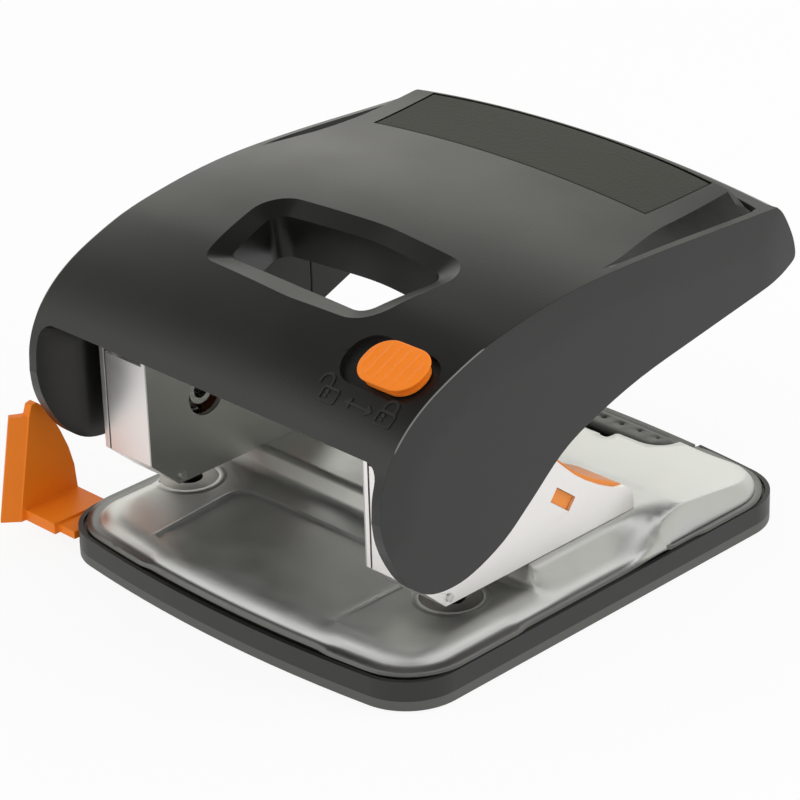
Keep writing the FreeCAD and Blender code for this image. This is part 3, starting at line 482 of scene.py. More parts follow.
cover_skin = plastic("lever_cover_skin", (0.009, 0.009, 0.0085), 0.31, grain_depth=0.1)
inner_skin = plastic("cover_inside_skin", (0.06, 0.06, 0.058), 0.5, grain_depth=0.2)
# A lighter plastic that paints the highlight along the front edges of the cover.
painted_highlight_skin = plastic("cover_painted_highlight_skin", (0.2, 0.2, 0.195), 0.35, grain_depth=0.05)
rim_skin = plastic("base_rim_skin", (0.014, 0.014, 0.013), 0.45, grain_depth=0.2)
grip_skin = plastic("drawer_grip_skin", (0.1, 0.103, 0.09), 0.5)
tray_skin = plastic("chip_tray_skin", (0.095, 0.095, 0.088), 0.5, grain_depth=0.2)
dark_nylon = plastic("dark_nylon_skin", (0.02, 0.02, 0.02), 0.45)
orange = plastic("orange_guide_skin", (1.0, 0.25, 0.012), 0.38, 0.25, 0.06, tint=0.92, grain_depth=0.08)
block_orange = plastic("spacer_block_skin", (1.0, 0.33, 0.06), 0.4, 0.3, tint=0.92, grain_depth=0.08)
pad_skin = plastic("grip_pad_skin", (0.056, 0.058, 0.047), 0.72, 0.35, grain_scale=1500.0, grain_depth=0.8)
mat_skin = plastic("base_mat_skin", (0.025, 0.025, 0.025), 0.8, 0.3, grain_scale=1200.0, grain_depth=0.7)

# %% [markdown]
# ## The pressed steel base
#
# One sheet of steel is pressed into the top of the base. It starts as a flat flange in the rim, rises
# over a soft rounding to the front floor, climbs the paper stop to the seat of the brackets and ends in
# a deck that falls away to the rear. Pressed metal has no crisp steps, so the sheet is drawn as a height
# over the plan: the levels along its depth times a side profile that depends on the distance from its
# edge. Lines are laid where the press left an edge, and a wall thickness makes it a real sheet.

# %% The plan of the base
plan_half = (rim_high.x - rim_low.x) / 2
plan_deep = rim_high.y
plan_bow = 4.35
plan_corner = 13.0


def bowed(x):
    """How far the front and rear edges reach at a place across."""
    return plan_deep - plan_bow * ((x - base_middle) / plan_half) ** 2


def edge_distance(x, y):
    """How far a place lies inside the outline of the base."""
    beside = plan_half - abs(x - base_middle)
    deep = bowed(x) - abs(y)
    if beside < plan_corner and deep < plan_corner:
        return plan_corner - math.hypot(plan_corner - beside, plan_corner - deep)
    return min(beside, deep)


def base_line(inset, count):
    """The closed line that runs at an inset from the outline; the inset may change from place to place."""
    loop = []
    for k in range(count):
        angle = 2 * math.pi * k / count
        near, far = 20.0, 90.0  # the place is found by halving
        for _ in range(26):
            reach = (near + far) / 2
            x, y = base_middle + reach * math.cos(angle), reach * math.sin(angle)
            wanted = inset(x, y) if callable(inset) else inset
            near, far = (reach, far) if edge_distance(x, y) > wanted else (near, reach)
        loop.append((x, y))
    return loop


print(f"base {2 * plan_half:.1f} mm wide, {2 * plan_deep:.1f} mm deep")

# %% The levels of the sheet
flange_z = 7.6
floor_z = 9.8
seat_z = 14.2
stop_y = -16.5  # the paper stop
sheet_gauge = 1.1
corner_inset, side_inset = 0.4, 0.95  # from the outline to the flange, with jogs between them
jogs_x = (-20.0, 33.0)
jogs_y = (-26.0, 29.0)
corner_foot, side_foot, floor_reach = 2.95, 1.75, 8.6
panel = [(-24.8, -56.0, 2.0), (-27.6, -24.4, 4.5), (29.1, -24.4, 3.0), (29.1, -56.0, 2.0)]
panel_depth = 0.35
panel_step = 0.18
panel_lip = 0.14  # the press throws up a low lip round the panel
panel_fade = (-56.0, -50.5)  # both run out at the front
ring_radius = 7.9  # a raised ring round each die
ring_rise = 0.16
seat_profile = [(2.4, 0.0), (3.6, 0.06), (5.2, 0.24), (6.8, 0.52), (8.3, 0.8), (9.5, 0.95), (10.8, 1.0)]
left_foot, left_top = 1.75, 3.0  # the left side of the seat is nearly upright
deck_start_y, deck_fall = 27.0, 0.13  # behind the seat the deck falls away to the rear
deck_foot, deck_edge = 2.0, 4.2
rear_foot, rear_edge = 2.8, 6.9
front_bulge, left_bulge, deck_bulge = 2.3, 0.7, 0.62  # how full the roundings are
turn_front_y, turn_rear_y = 5.0, 28.0  # between these the side of the seat becomes that of the deck
print("flange, floor and seat at z", flange_z, floor_z, seat_z)

# %% The sides of the sheet


def mid_side(x, y):
    """1 between the jogs of a side, 0 round the corners."""
    shares = [smooth_step(value, low - soft, low + soft) - smooth_step(value, high - soft, high + soft)
              for value, (low, high), soft in ((x, jogs_x, 2), (y, jogs_y, 1.5))]
    return min(1.0, sum(shares))


def flange_inset(x, y):
    return corner_inset + (side_inset - corner_inset) * mid_side(x, y)


def from_profile(profile, t):
    if t <= profile[0][0]:
        return 0.0
    for (t0, v0), (t1, v1) in zip(profile, profile[1:]):
        if t <= t1:
            return v0 + (v1 - v0) * (t - t0) / (t1 - t0)
    return 1.0


seat_fine = [(t, min(1.0, max(0.0, v))) for t, v in curve_through(seat_profile, 6)]
panel_loop = rounded(panel, 6)
panel_spans = pairs(panel_loop)


def panel_reach(x, y):
    """How far inside the sunken panel a place lies, below zero outside it."""
    return distance_to(panel_spans, x, y) * (1 if inside((x, y), panel_loop) else -1)


def deck_inset(x, y, share):
    """The inset at which the side of the deck has climbed by a share of its run."""
    rear = smooth_step(y, 46.0, 56.0) * (1 - smooth_step(abs(x - base_middle), 32.0, 48.0))
    foot = deck_foot + (rear_foot - deck_foot) * rear
    return foot * (1 - share) + (deck_edge + (rear_edge - deck_edge) * rear) * share


def deck_height(x, y):
    top = seat_z - deck_fall * max(0.0, y - deck_start_y)
    climb = share_of(edge_distance(x, y), deck_inset(x, y, 0), deck_inset(x, y, 1))
    return flange_z + (top - flange_z) * climb ** deck_bulge


print(f"the deck falls to z {deck_height(0, 54):.1f}")

# %% The height of the sheet


def sheet_height(x, y):
    inset = edge_distance(x, y)
    foot = corner_foot + (side_foot - corner_foot) * mid_side(x, y)
    rise = share_of(inset - flange_inset(x, y), foot, floor_reach)
    front = flange_z + (floor_z - flange_z) * (1 - (1 - rise) ** front_bulge)
    right = smooth_step(x, base_middle - 10, base_middle + 10)
    sloped = from_profile(seat_fine, inset)
    upright = share_of(inset, left_foot, left_top) ** left_bulge
    seat = flange_z + (seat_z - flange_z) * (upright + (sloped - upright) * right)
    wide = smooth_step(x - base_middle, plan_half - 9.0, plan_half - 4.0)
    climb = smooth_step(y, stop_y - 0.2 - 4.0 * wide, stop_y + 2.6 + 7.0 * wide)
    height = front + (seat - front) * climb
    height += (deck_height(x, y) - height) * smooth_step(y, turn_front_y, turn_rear_y)
    if y < stop_y + 4:
        reach = panel_reach(x, y)
        height -= panel_depth * smooth_step(reach, -panel_step, panel_step) * smooth_step(y, *panel_fade)
        lip = smooth_step(reach, -0.8, -0.4) - smooth_step(reach, -0.4, 0.0)
        height += panel_lip * lip * smooth_step(y, -54.0, -50.5)
        for side in (-1, 1):
            ring = math.dist((x, y), (side * punch_x, punch_y))
            level = 1 - smooth_step(ring, ring_radius - 0.15, ring_radius + 0.4)
            height += ring_rise * level * (1 - climb)
    return height


print("along the middle:", [round(sheet_height(base_middle, y), 1) for y in (-62, -40, -10, 20, 50)])

# %% Its openings
grip_half, grip_front = 26.0, 46.3  # the opening for the grip of the drawer, and its finger notch
finger_half, finger_front = 14.4, 43.0


def mirrored(corners):
    """(x, y, radius) corners of a left half, from the middle outwards, with their mirror images."""
    return ([(base_middle - x, y, r) for x, y, r in corners] +
            [(base_middle + x, y, r) for x, y, r in reversed(corners)])


grip_hole = evenly(rounded(mirrored([
    (grip_half + 0.6, 66, 0), (grip_half, grip_front, 5.5), (finger_half, grip_front, 0.8),
    (finger_half + 0.3, finger_front - 0.6, 0.8), (finger_half - 1.6, finger_front - 0.6, 0.6),
    (finger_half - 2.2, finger_front, 0.4)]), 6), 2.0)
die_radius = (die_high.x - die_low.x) / 2 + 0.1
die_holes = [circle(side * punch_x, punch_y, die_radius, 44) for side in (-1, 1)]
print(f"grip opening {2 * grip_half:.0f} mm wide, die holes {2 * die_radius:.1f} mm")

# %% The lines of the press
press_lines = []


def lay(line, keep):
    """Lays in the longest run of a closed line whose points all pass a test."""
    first = next((k for k in range(len(line)) if keep(*line[k]) and not keep(*line[k - 1])), 0)
    turned = line[first:] + line[:first]
    last = next((k for k, at in enumerate(turned) if not keep(*at)), len(turned))
    press_lines.append(turned[:last])


for reach in (1.75, 2.35, 3.1, 4.2, 5.6, 7.4, floor_reach):
    line = base_line(lambda x, y, r=reach: flange_inset(x, y) + r, 220)
    lay(line, lambda x, y: y < turn_front_y + 12.0 and (y < stop_y or x > 0))
for share in (0.0, 0.04, 0.14, 0.32, 0.6, 0.93, 1.05):
    line = base_line(lambda x, y, k=share: deck_inset(x, y, k), 260)
    lay(line, lambda x, y: y > turn_front_y + 14.0)
for share in (0.0, 0.1, 0.35, 0.7, 1.05):
    line = base_line(left_foot + (left_top - left_foot) * share, 260)
    lay(line, lambda x, y: x < 0 and stop_y < y < turn_front_y + 6.0)
for y in (stop_y - 0.2, stop_y + 0.7, stop_y + 1.7, stop_y + 2.6, deck_start_y - 0.3, deck_start_y + 0.3):
    half = plan_half - (8 if y < 0 else 5)
    press_lines.append([(base_middle + x, y) for x in across(half)])
panel_x, panel_y = (sum(corner[i] for corner in panel) / len(panel) for i in (0, 1))
for out in (1.1, 0.8, 0.4, panel_step, 0.0, -panel_step, -panel_step - 0.3):
    moved = [(x + math.copysign(out, x - panel_x), y + math.copysign(out, y - panel_y), r)
             for x, y, r in panel]
    lay(evenly(rounded(moved, 8), 1.5), lambda x, y: y > -52.5)
for side in (-1, 1):
    for more in (-0.5, -0.15, 0.12, 0.4, 0.7):
        line = circle(side * punch_x, punch_y, ring_radius + more, 48)
        press_lines.append(line + line[:1])
print("press lines:", len(press_lines))

# %% The sheet itself
places, faces = sheet_faces(base_line(flange_inset, 300), die_holes + [grip_hole], press_lines, 1.7, 0.5)
steel_base = sheet("steel_base", [(x, y, sheet_height(x, y)) for x, y in places], faces, base_steel, 70,
                   sheet_gauge)
place(steel_base, "base", "pressed_steel", "base_plate")

# %% [markdown]
# ## The chip drawer
#
# The tray for the chips slides out at the rear. Its tab fills the opening in the deck, a hair below the
# steel, and a row of small holes that shrink towards both ends marks it as a grip.

# %% The tray
tray_wall = 1.2
tray_top = 5.8
tray_inset, tray_corner = 5.4, 4.0
tray_face = 3.2  # the rear wall of the tray
tray_rear = plan_deep - plan_bow - tray_face
tray_left, tray_right = rim_low.x + tray_inset, rim_high.x - tray_inset
rear_edge_x = [tray_right + (tray_left - tray_right) * k / 24 for k in range(25)]
tray_plan = rounded([(tray_left, drawer_low.y, tray_corner), (tray_right, drawer_low.y, tray_corner)] +
                    [(x, bowed(x) - 0.02, 0.0) for x in rear_edge_x], 6)
hollow_plan = [(min(tray_right - tray_wall, max(tray_left + tray_wall, x)),
                min(tray_rear - tray_wall, max(drawer_low.y + tray_wall, y))) for x, y in tray_plan]
tray_levels = [(tray_plan, drawer_low.z), (tray_plan, tray_top), (hollow_plan, tray_top),
               (hollow_plan, drawer_low.z + tray_wall)]
tray_shape = rings([[(x, y, z) for x, y in plan] for plan, z in tray_levels])
chip_tray = new_piece("chip_tray", *tray_shape, tray_skin)
place(chip_tray, "drawer", "drawer_plastic", "chip_drawer")

# %% Its grip
grip_gap = 0.3
grip_drop = 0.35  # the grip lies this far below the steel
grip_gauge = 1.3
neck_half = 25.2
step_y = plan_deep - plan_bow - 0.4
grip_side = grip_half - grip_gap
grip_plan = rounded([(base_middle - grip_side, grip_front + grip_gap, 5.2),
                     (base_middle + grip_side, grip_front + grip_gap, 5.2),
                     (base_middle + grip_side, step_y, 0.0), (base_middle + neck_half, step_y, 0.0)] +
                    [(base_middle - x, bowed(base_middle - x) - 0.1, 0.0) for x in across(neck_half, 12)] +
                    [(base_middle - neck_half, step_y, 0.0), (base_middle - grip_side, step_y, 0.0)], 6)
dot_pitch, dot_y = 5.3, 52.0
dot_width, dot_shrink = 1.9, 0.27
dots = [circle(base_middle + dot_pitch * k, dot_y, (dot_width - dot_shrink * abs(k)) / 2, 14)
        for k in range(-4, 5)]
grip_lines = [[(base_middle + x, bowed(base_middle + x) - inset) for x in across(neck_half, 12)]
              for inset in (rear_edge + 0.2, rear_edge - 0.5, 4.6, 3.4, rear_foot)]
places, faces = sheet_faces(evenly(grip_plan, 2.0), dots, grip_lines, 2.0)
drawer_grip = sheet("drawer_grip", [(x, y, deck_height(x, y) - grip_drop) for x, y in places], faces,
                    grip_skin, 40, grip_gauge)
place(drawer_grip, "drawer", "drawer_plastic")

# %% [markdown]
# ## The lever cover
#
# The cover is one moulded shell: a roof that arches from a low front lip to the raised rear, and two
# side walls that hang down as rounded lobes. A shell like this is drawn as skins that meet point for
# point: the roof outside and inside, the walls outside and inside, and thin strips between them. They
# share their border points, so they weld into one closed solid, and one fillet rounds all its edges.
# The side profile comes from two lines, the ridge over the top and the skirt underneath.

# %% The side profile
WALL = 3.0
# (depth, height) points, from the shaft.
ridge = [(-19.5, -5.5), (-19.0, 0.0), (-17.3, 4.8), (-14.3, 9.3), (-9.3, 13.7), (-2.3, 17.5), (9.0, 21.5),
         (20.4, 23.7), (32.0, 25.1), (44.2, 25.6), (61.2, 25.2), (81.2, 24.1), (99.2, 23.1)]
rear_end = [(99.2, 23.1), (101.0, 21.4), (103.0, 18.2), (104.8, 14.4), (105.6, 11.2), (105.4, 9.6),
            (104.2, 8.6)]
skirt = [(104.2, 8.6), (100.2, 7.1), (93.2, 5.7), (74.2, 2.7), (55.2, -0.5), (40.2, -4.8), (31.2, -8.9),
         (22.2, -15.9), (14.2, -21.7), (5.2, -25.4), (-1.8, -26.2), (-7.8, -24.9), (-12.8, -21.1),
         (-16.4, -15.7), (-18.6, -10.5), (-19.5, -5.5)]


def from_shaft(line):
    return [(y + pivot_y, z + pivot_z) for y, z in line]


spine = from_shaft(curve_through(ridge, 5)[:-1] + curve_through(rear_end, 3))
underline = from_shaft(curve_through(skirt, 4))
spine_s = [0.0]  # the length along the spine at each of its points
for a, b in zip(spine, spine[1:]):
    spine_s.append(spine_s[-1] + math.dist(a, b))
ridge_end_s = spine_s[5 * (len(ridge) - 1)]
print(f"ridge {ridge_end_s:.1f} mm long, {len(spine)} points; skirt {len(underline)} points")


def spine_at(s):
    """The profile point at a length along the spine, with the outward direction there."""
    k = max(1, next((i for i, reach in enumerate(spine_s) if reach >= s - 1e-9), len(spine) - 1))
    t = (s - spine_s[k - 1]) / (spine_s[k] - spine_s[k - 1])
    y, z = (a + (b - a) * t for a, b in zip(spine[k - 1], spine[k]))

    def heading(i):
        a, b = spine[max(i - 1, 0)], spine[min(i + 1, len(spine) - 1)]
        return Vector((a[1] - b[1], b[0] - a[0])).normalized()

    out = heading(k - 1).lerp(heading(k), t).normalized()
    return y, z, out


def along(value, axis=0):
    """The length along the spine where it first reaches a depth, or with axis 1 a height."""
    k = next(i for i, point in enumerate(spine) if point[axis] >= value)
    t = (value - spine[k - 1][axis]) / (spine[k][axis] - spine[k - 1][axis])
    return spine_s[k - 1] + (spine_s[k] - spine_s[k - 1]) * t


# %% The crown and the raised panel
lean = 0.6  # the side walls lean in by this at the top
top_edge = cover_high.x - lean
inner_x = cover_high.x - WALL
crown_front = 1.5
crown_rear = 4.0
crown_run = 0.25
panel_half = 46.0  # towards the rear the roof stands above its rim as a panel
panel_rear_y, panel_rear_bow = 54.2, 3.2
panel_swell = 1.4
panel_lift = 25.0
panel_rise = (0.65, 1.0)  # the shares of the ridge over which the panel rises
scoop_out = 50.4  # outside the panel the roof falls away to this line
scoop_tip, scoop_full = 4.0, 30.0
scoop_sunk = 0.9
scoop_wall = 0.6
rim_y, rim_bow = 55.6, 2.6


def share_along(y):
    """The share of the ridge's depth at a place."""
    return min(1.0, (y - spine[0][0]) / (ridge[-1][0] - ridge[0][0]))


def crown(x, s):
    """How far the roof swells above the spine."""
    share = share_along(spine_at(min(s, ridge_end_s))[0])
    rise = crown_front * min(1, share / crown_run) + (crown_rear - crown_front) * share
    fade = 1 - smooth_step(s, ridge_end_s, spine_s[-1])
    return rise * (1 - (x / top_edge) ** 2) * fade


def panel_edge(y):
    return panel_half + (scoop_out - 0.1 - panel_half) * (1 - smooth_step(y, scoop_tip, scoop_full))


def panel_rear(x):
    return panel_rear_y - panel_rear_bow * (x / 41.0) ** 2


def rim_front(x):
    return rim_y - rim_bow * (x / scoop_out) ** 2


print(f"the panel ends at y {panel_rear(0):.1f}, the rim starts at y {rim_front(0):.1f}")

# %% The roof over the spine


def relief(x, y):
    """How far the roof stands above its crown: the panel, and the scoops beside and behind it."""
    side = abs(x)
    share = share_along(y)
    lift = panel_lift * max(0.0, share - 0.6) ** 2 * min(1.0, side / panel_half) ** 2
    swell = panel_swell * smooth_step(share, *panel_rise) * (1 - (x / top_edge) ** 2)
    beside = (side - panel_edge(y)) / (scoop_out - panel_edge(y))
    back = (y - panel_rear(x)) / (rim_front(x) - panel_rear(x))
    fall = min(1.0, max(0.0, beside, back))
    sunk = scoop_sunk * smooth_step(y, scoop_tip, 20.0) * (0.3 + 0.7 * smooth_step(side, 34.0, 50.0))
    rim = max(smooth_step(side, scoop_out, scoop_out + scoop_wall),
              smooth_step(y, rim_front(x), rim_front(x) + scoop_wall))
    return (swell + lift) * (1 - fall) - sunk * fall * (1 - rim)


def roof_point(x, s, sunk=0.0):
    y, z, out = spine_at(s)
    up = (relief(x, y) if sunk < WALL else 0.0) - sunk
    return x, y + out.x * up, z + crown(x, s) + out.y * up


def on_roof(line, sunk=0.0):
    return [roof_point(x, s, sunk) for x, s in line]


print(f"crown {crown(0, ridge_end_s):.1f} mm high at the rear, its panel {relief(0, 40):.1f} mm more")

# %% Openings in the roof


def shaped(corners, steps, between):
    """A rounded outline with a fixed number of points, so that two of them can be joined."""
    arcs = rounded(corners, steps)
    loop = []
    per_corner = steps + 1
    for k in range(len(corners)):
        loop += arcs[k * per_corner:(k + 1) * per_corner]
        a, b = arcs[(k + 1) * per_corner - 1], arcs[(k + 1) * per_corner % len(arcs)]
        loop += [tuple(p + (q - p) * j / between for p, q in zip(a, b)) for j in range(1, between)]
    return loop


def unrolled(line):
    """(x, y) points as (x, length along the spine)."""
    return [(x, along(y)) for x, y in line]


mouth = unrolled(shaped([(-22.2, -36.9, 3.5), (-27.2, -11.9, 7.0), (5.0, -10.2, 60.0), (33.0, -12.2, 6.5),
                         (26.3, -37.6, 9.0), (5.0, -38.4, 60.0)], 8, 9))
throat = unrolled(shaped([(-18.4, -33.2, 2.0), (-22.7, -15.9, 3.5), (5.0, -13.7, 60.0), (27.8, -15.9, 3.0),
                          (21.8, -34.1, 4.5), (3.0, -33.9, 60.0)], 8, 9))
throat_depth = 2.0
skirt_depth = 11.8
skirt_wall = 2.2
centre = [sum(p[i] for p in throat) / len(throat) for i in (0, 1)]
skirt_loop = [tuple(c + (p - c) * (1 + skirt_wall / math.dist(at, centre)) for p, c in zip(at, centre))
              for at in throat]
track = unrolled(shaped([(27.8, -49.4, 5.4), (27.8, -37.9, 5.4), (50.6, -37.9, 5.4), (50.6, -49.4, 5.4)],
                        6, 4))
track_depth = 1.1
pad_front_y, pad_front_bow = 31.2, 0.8
pad_front_half, pad_rear_half = 39.9, 40.9
pad_behind = 0.5  # from the pad to the rear edge of the panel
pad_seat = 0.8
pad_front = [(pad_front_half * t, pad_front_y - pad_front_bow * t ** 2) for t in across(1.0, 12)]
pad_rear = [(-x, panel_rear(x) - pad_behind) for x in across(pad_rear_half, 12)]
pad_hole = unrolled(evenly(pad_front + pad_rear, 2.5))
print("window", len(mouth), "points; track", len(track), "points; pad seat", len(pad_hole), "points")

# %% The skins of the shell
lip_half = 46.7
lip_z = pivot_z + 5.5
lip_s = along(lip_z, axis=1)
foot_s = along(lip_z - (inner_x - lip_half), axis=1)
tail_s = spine_s[-1] - 3.2
inner_tail_s = spine_s[-1] - 3.6
side_s = [foot_s] + [s for s in spine_s if foot_s + 0.5 < s < tail_s - 0.5] + [tail_s]
# The inside turns the rear corner in one step.
turn_start, turn_end = ridge_end_s - 2.0, ridge_end_s + 2.6
inner_s = [foot_s] + [s for s in spine_s if foot_s + 0.5 < s < turn_start]
inner_s += [s for s in spine_s if turn_end < s < inner_tail_s - 0.5] + [inner_tail_s]
rear_x = [inner_x - inner_x * k / 20 for k in range(41)]
front = [(lip_half + (inner_x - lip_half) * math.sin(a), foot_s + (lip_s - foot_s) * math.cos(a))
         for a in (math.radians(90 - 15 * k) for k in range(7))]
front += [(lip_half - 2 * lip_half * k / 40, lip_s) for k in range(1, 40)]
front += [(-x, s) for x, s in reversed(front[:7])]

roof_edge = [(top_edge, s) for s in side_s] + [(x, tail_s) for x in rear_x]
roof_edge += [(-top_edge, s) for s in reversed(side_s)] + list(reversed(front))
under_edge = [(inner_x, s) for s in inner_s[1:]] + [(x, inner_tail_s) for x in rear_x[1:]]
under_edge += [(-inner_x, s) for s in reversed(inner_s[1:-1])] + list(reversed(front))

skins = []


def skin(outline, holes, spacing, put, lines=()):
    places, faces = sheet_faces(outline, holes, lines, spacing)
    skins.append(([put(*p) for p in places], faces))


relief_lines = []
scoop_ys = [scoop_tip + (panel_rear_y - scoop_tip) * k / 32 for k in range(1, 33)]
for sign in (1, -1):
    side_ys = [y for y in scoop_ys if y < rim_front(scoop_out) - 0.5]
    inner_ys = [y for y in scoop_ys if y < panel_rear(panel_half) + 0.05]
    relief_lines.append(unrolled([(sign * panel_edge(y), y) for y in inner_ys]))
    for out in (scoop_out, scoop_out + scoop_wall):
        relief_lines.append(unrolled([(sign * out, y) for y in side_ys]))
for line, back, half in ((panel_rear, 0.0, panel_half - 0.3), (rim_front, 0.0, scoop_out - 0.3),
                         (rim_front, scoop_wall, scoop_out)):
    relief_lines.append(unrolled([(x, line(x) + back) for x in across(half)]))
tail_rows = [[(x, s) for x in rear_x] for s in spine_s if ridge_end_s + 1.0 < s < tail_s - 0.8]
inner_tail_rows = [[(x, s) for x in rear_x] for s in inner_s if turn_end < s < inner_tail_s]
skin(roof_edge, [mouth, track, pad_hole], 2.2, roof_point, relief_lines + tail_rows)
skin(under_edge, [skirt_loop], 4.0, lambda x, s: roof_point(x, s, WALL), inner_tail_rows)


def strip(first, second, closed=False):
    """Faces between two matching lines of points."""
    count = len(first)
    steps = [(k, (k + 1) % count) for k in range(count if closed else count - 1)]
    skins.append((first + second, [(k, n, count + n, count + k) for k, n in steps]))


strip(on_roof(front), on_roof(front, WALL))
strip(on_roof([(x, tail_s) for x in rear_x]), on_roof([(x, inner_tail_s) for x in rear_x], WALL))
levels = [on_roof(mouth), on_roof(throat, throat_depth), on_roof(throat, skirt_depth),
          on_roof(skirt_loop, skirt_depth), on_roof(skirt_loop, WALL)]
for upper, lower in zip(levels, levels[1:]):
    strip(upper, lower, closed=True)
for hole, depth in ((track, track_depth), (pad_hole, pad_seat)):
    strip(on_roof(hole), on_roof(hole, depth), closed=True)
    skin(hole, [], 3.0, lambda x, s, d=depth: roof_point(x, s, d))
print("roof skins:", len(skins))

# %% The side walls
nose_s = [s for s in spine_s if s < foot_s - 0.5]
rear_s = [s for s in spine_s if s > tail_s + 0.5]
nose, tail = nose_s + [foot_s], [tail_s] + rear_s
bare_skirt = underline[1:-1]
band = 8.0  # the walls lean in over this band under the ridge
band_places = [spine_at(ridge_end_s * (0.06 + 0.9 * k / 60)) for k in range(61)]
band_line = [(y - out.x * band, z - out.y * band) for y, z, out in band_places]
spine_spans = list(zip(spine, spine[1:]))


def wall_x(y, z):
    return cover_high.x - lean * (1 - min(1.0, distance_to(spine_spans, y, z) / band))


def outer_line(line):
    return [spine_at(s)[:2] for s in line]


def inner_line(line, sunk=0.0):
    """Where the inside of the right wall meets the roof, seen from the side."""
    return [roof_point(inner_x, s, sunk)[1:] for s in line]


outer_rim = outer_line(nose_s + side_s + rear_s) + bare_skirt
outer_places, outer_faces = sheet_faces(outer_rim, [], [band_line], 3.0)
inner_rim = inner_line(nose) + inner_line(inner_s, WALL) + inner_line(tail) + bare_skirt
inner_places, inner_faces = sheet_faces(inner_rim, [], [], 4.0)
edge_out = outer_line(tail) + bare_skirt + outer_line(nose)
edge_in = inner_line(tail) + bare_skirt + inner_line(nose)
for sign in (1, -1):
    skins.append(([(sign * wall_x(y, z), y, z) for y, z in outer_places], outer_faces))
    skins.append(([(sign * inner_x, y, z) for y, z in inner_places], inner_faces))
    strip([(sign * wall_x(y, z), y, z) for y, z in edge_out], [(sign * inner_x, y, z) for y, z in edge_in])

points = [p for places, faces in skins for p in places]
starts = [sum(len(places) for places, own in skins[:k]) for k in range(len(skins))]
faces = [tuple(start + v for v in face) for start, (places, own) in zip(starts, skins) for face in own]
edge_angle = 13.0  # the roof's own curve stays under this from face to face
lever_cover = new_piece("lever_cover", points, faces, cover_skin, edge_angle)


def open_edges(piece):
    """How many edges of a mesh don't have just two faces."""
    uses = Counter(key for polygon in piece.data.polygons for key in polygon.edge_keys)
    return sum(count != 2 for count in uses.values())


print("open edges:", open_edges(lever_cover))

# %% Its fillets, wider along the top of the side walls
wide_fillet, narrow_share = 0.8, 0.35
weights = lever_cover.data.attributes.new("bevel_weight_edge", "FLOAT", "EDGE")
shape = bmesh.new()
shape.from_mesh(lever_cover.data)
for k, edge in enumerate(shape.edges):
    on_top = all(abs(v.co.x / MM) > top_edge - 0.1 for v in edge.verts)
    if edge.calc_face_angle(0.0) > math.radians(edge_angle):
        weights.data[k].value = 1.0 if on_top else narrow_share
shape.free()
soften(lever_cover, wide_fillet, segments=3, limit="WEIGHT")
place(lever_cover, "handle", "cover_plastic", "handle_cover")

# %% The painted highlight lines
# Where the roof turns into the side walls at the front, a thin tube of lighter plastic paints the highlight
# that the edge catches.
line_from, line_to = 9.0, 50.0
line_radius, line_taper, line_inset = 0.17, 8.0, 0.12
for name, side in (("left", -1), ("right", 1)):
    sections = []
    for k in range(61):
        s = line_from + (line_to - line_from) * k / 60
        y, z, out = spine_at(s)
        size = line_radius * min(1.0, 0.05 + min(s - line_from, line_to - s) / line_taper)
        sections.append([(side * (top_edge - line_inset + a), y - out.x * (line_inset - b),
                          z - out.y * (line_inset - b)) for a, b in circle(0.0, 0.0, size, 8)])
    painted_highlight_line = new_piece(f"{name}_cover_line", *rings(sections), painted_highlight_skin)
    place(painted_highlight_line, "handle", "cover_plastic")

# %% Ribs under the roof
rib_x, rib_wall = 30.0, 1.6
rib_seam_y, rib_seam = -0.15, 0.3  # a hair of a gap parts each rib in two
rib_foot = [(-23.0, 61.6), (3.2, 44.7), (11.6, 48.0), (24.0, 58.0)]


def rib_plate(side, foot):
    """An upright plate under the roof, with its lower edge through the foot points."""
    count = 8
    top_y = [foot[-1][0] + (foot[0][0] - foot[-1][0]) * k / count for k in range(count + 1)]
    outline = foot + [roof_point(rib_x, along(y), WALL * 0.7)[1:] for y in top_y]
    sides = (rib_x - rib_wall / 2, rib_x + rib_wall / 2)
    return rings([[(side * x, y, z) for y, z in outline] for x in sides])


seam_share = (rib_seam_y - rib_foot[0][0]) / (rib_foot[1][0] - rib_foot[0][0])
seam_z = rib_foot[0][1] + (rib_foot[1][1] - rib_foot[0][1]) * seam_share
for name, side in (("left", -1), ("right", 1)):
    for part, foot in (("front", [rib_foot[0], (rib_seam_y - rib_seam / 2, seam_z)]),
                       ("rear", [(rib_seam_y + rib_seam / 2, seam_z)] + rib_foot[1:])):
        rib = new_piece(f"{name}_{part}_cover_rib", *rib_plate(side, foot), inner_skin)
        soften(rib, 0.25)
        place(rib, "handle", "cover_plastic")

# %% [markdown]
# ## The grip pad, the lock knob and its signs
#
# A textured pad is glued into a seat in the rear of the cover, with a hair of a gap all round. The
# lock knob is a ribbed orange slider in its sunken track. Beside it the mould leaves thin raised signs:
# a padlock at each end of the travel and an arrow between them.

# %% Grip pad
pad_gap = 0.5
pad_rim = [(x * (1 - pad_gap / pad_front_half), s - pad_gap * math.copysign(1, s - along(43.0)))
           for x, s in pad_hole]
pad_places, pad_faces = sheet_faces(pad_rim, [], [], 2.4)
pad_points = on_roof(pad_places, 0.06) + on_roof(pad_places, pad_seat - 0.05)
count = len(pad_places)
uses = Counter(frozenset(edge) for face in pad_faces for edge in pairs(face))
pad_walls = [(a, b, b + count, a + count) for (a, b), faces_at in uses.items() if faces_at == 1]
pad_faces += [tuple(v + count for v in reversed(face)) for face in pad_faces] + pad_walls
pad = new_piece("cover_pad", pad_points, pad_faces, pad_skin)
soften(pad, 0.15)
place(pad, "handle", "pad_rubber", "grip_pad")


# %% The lock knob
knob_at = (40.9, -43.8, 66.65)
knob_half = (8.0, 5.65)
knob_corner = 5.15
knob_tilt = math.radians(25.0)
knob_top, knob_round, knob_thickness = 1.35, 0.4, 2.6
grip_pitch, grip_height, grip_width = 2.5, 0.2, 0.32


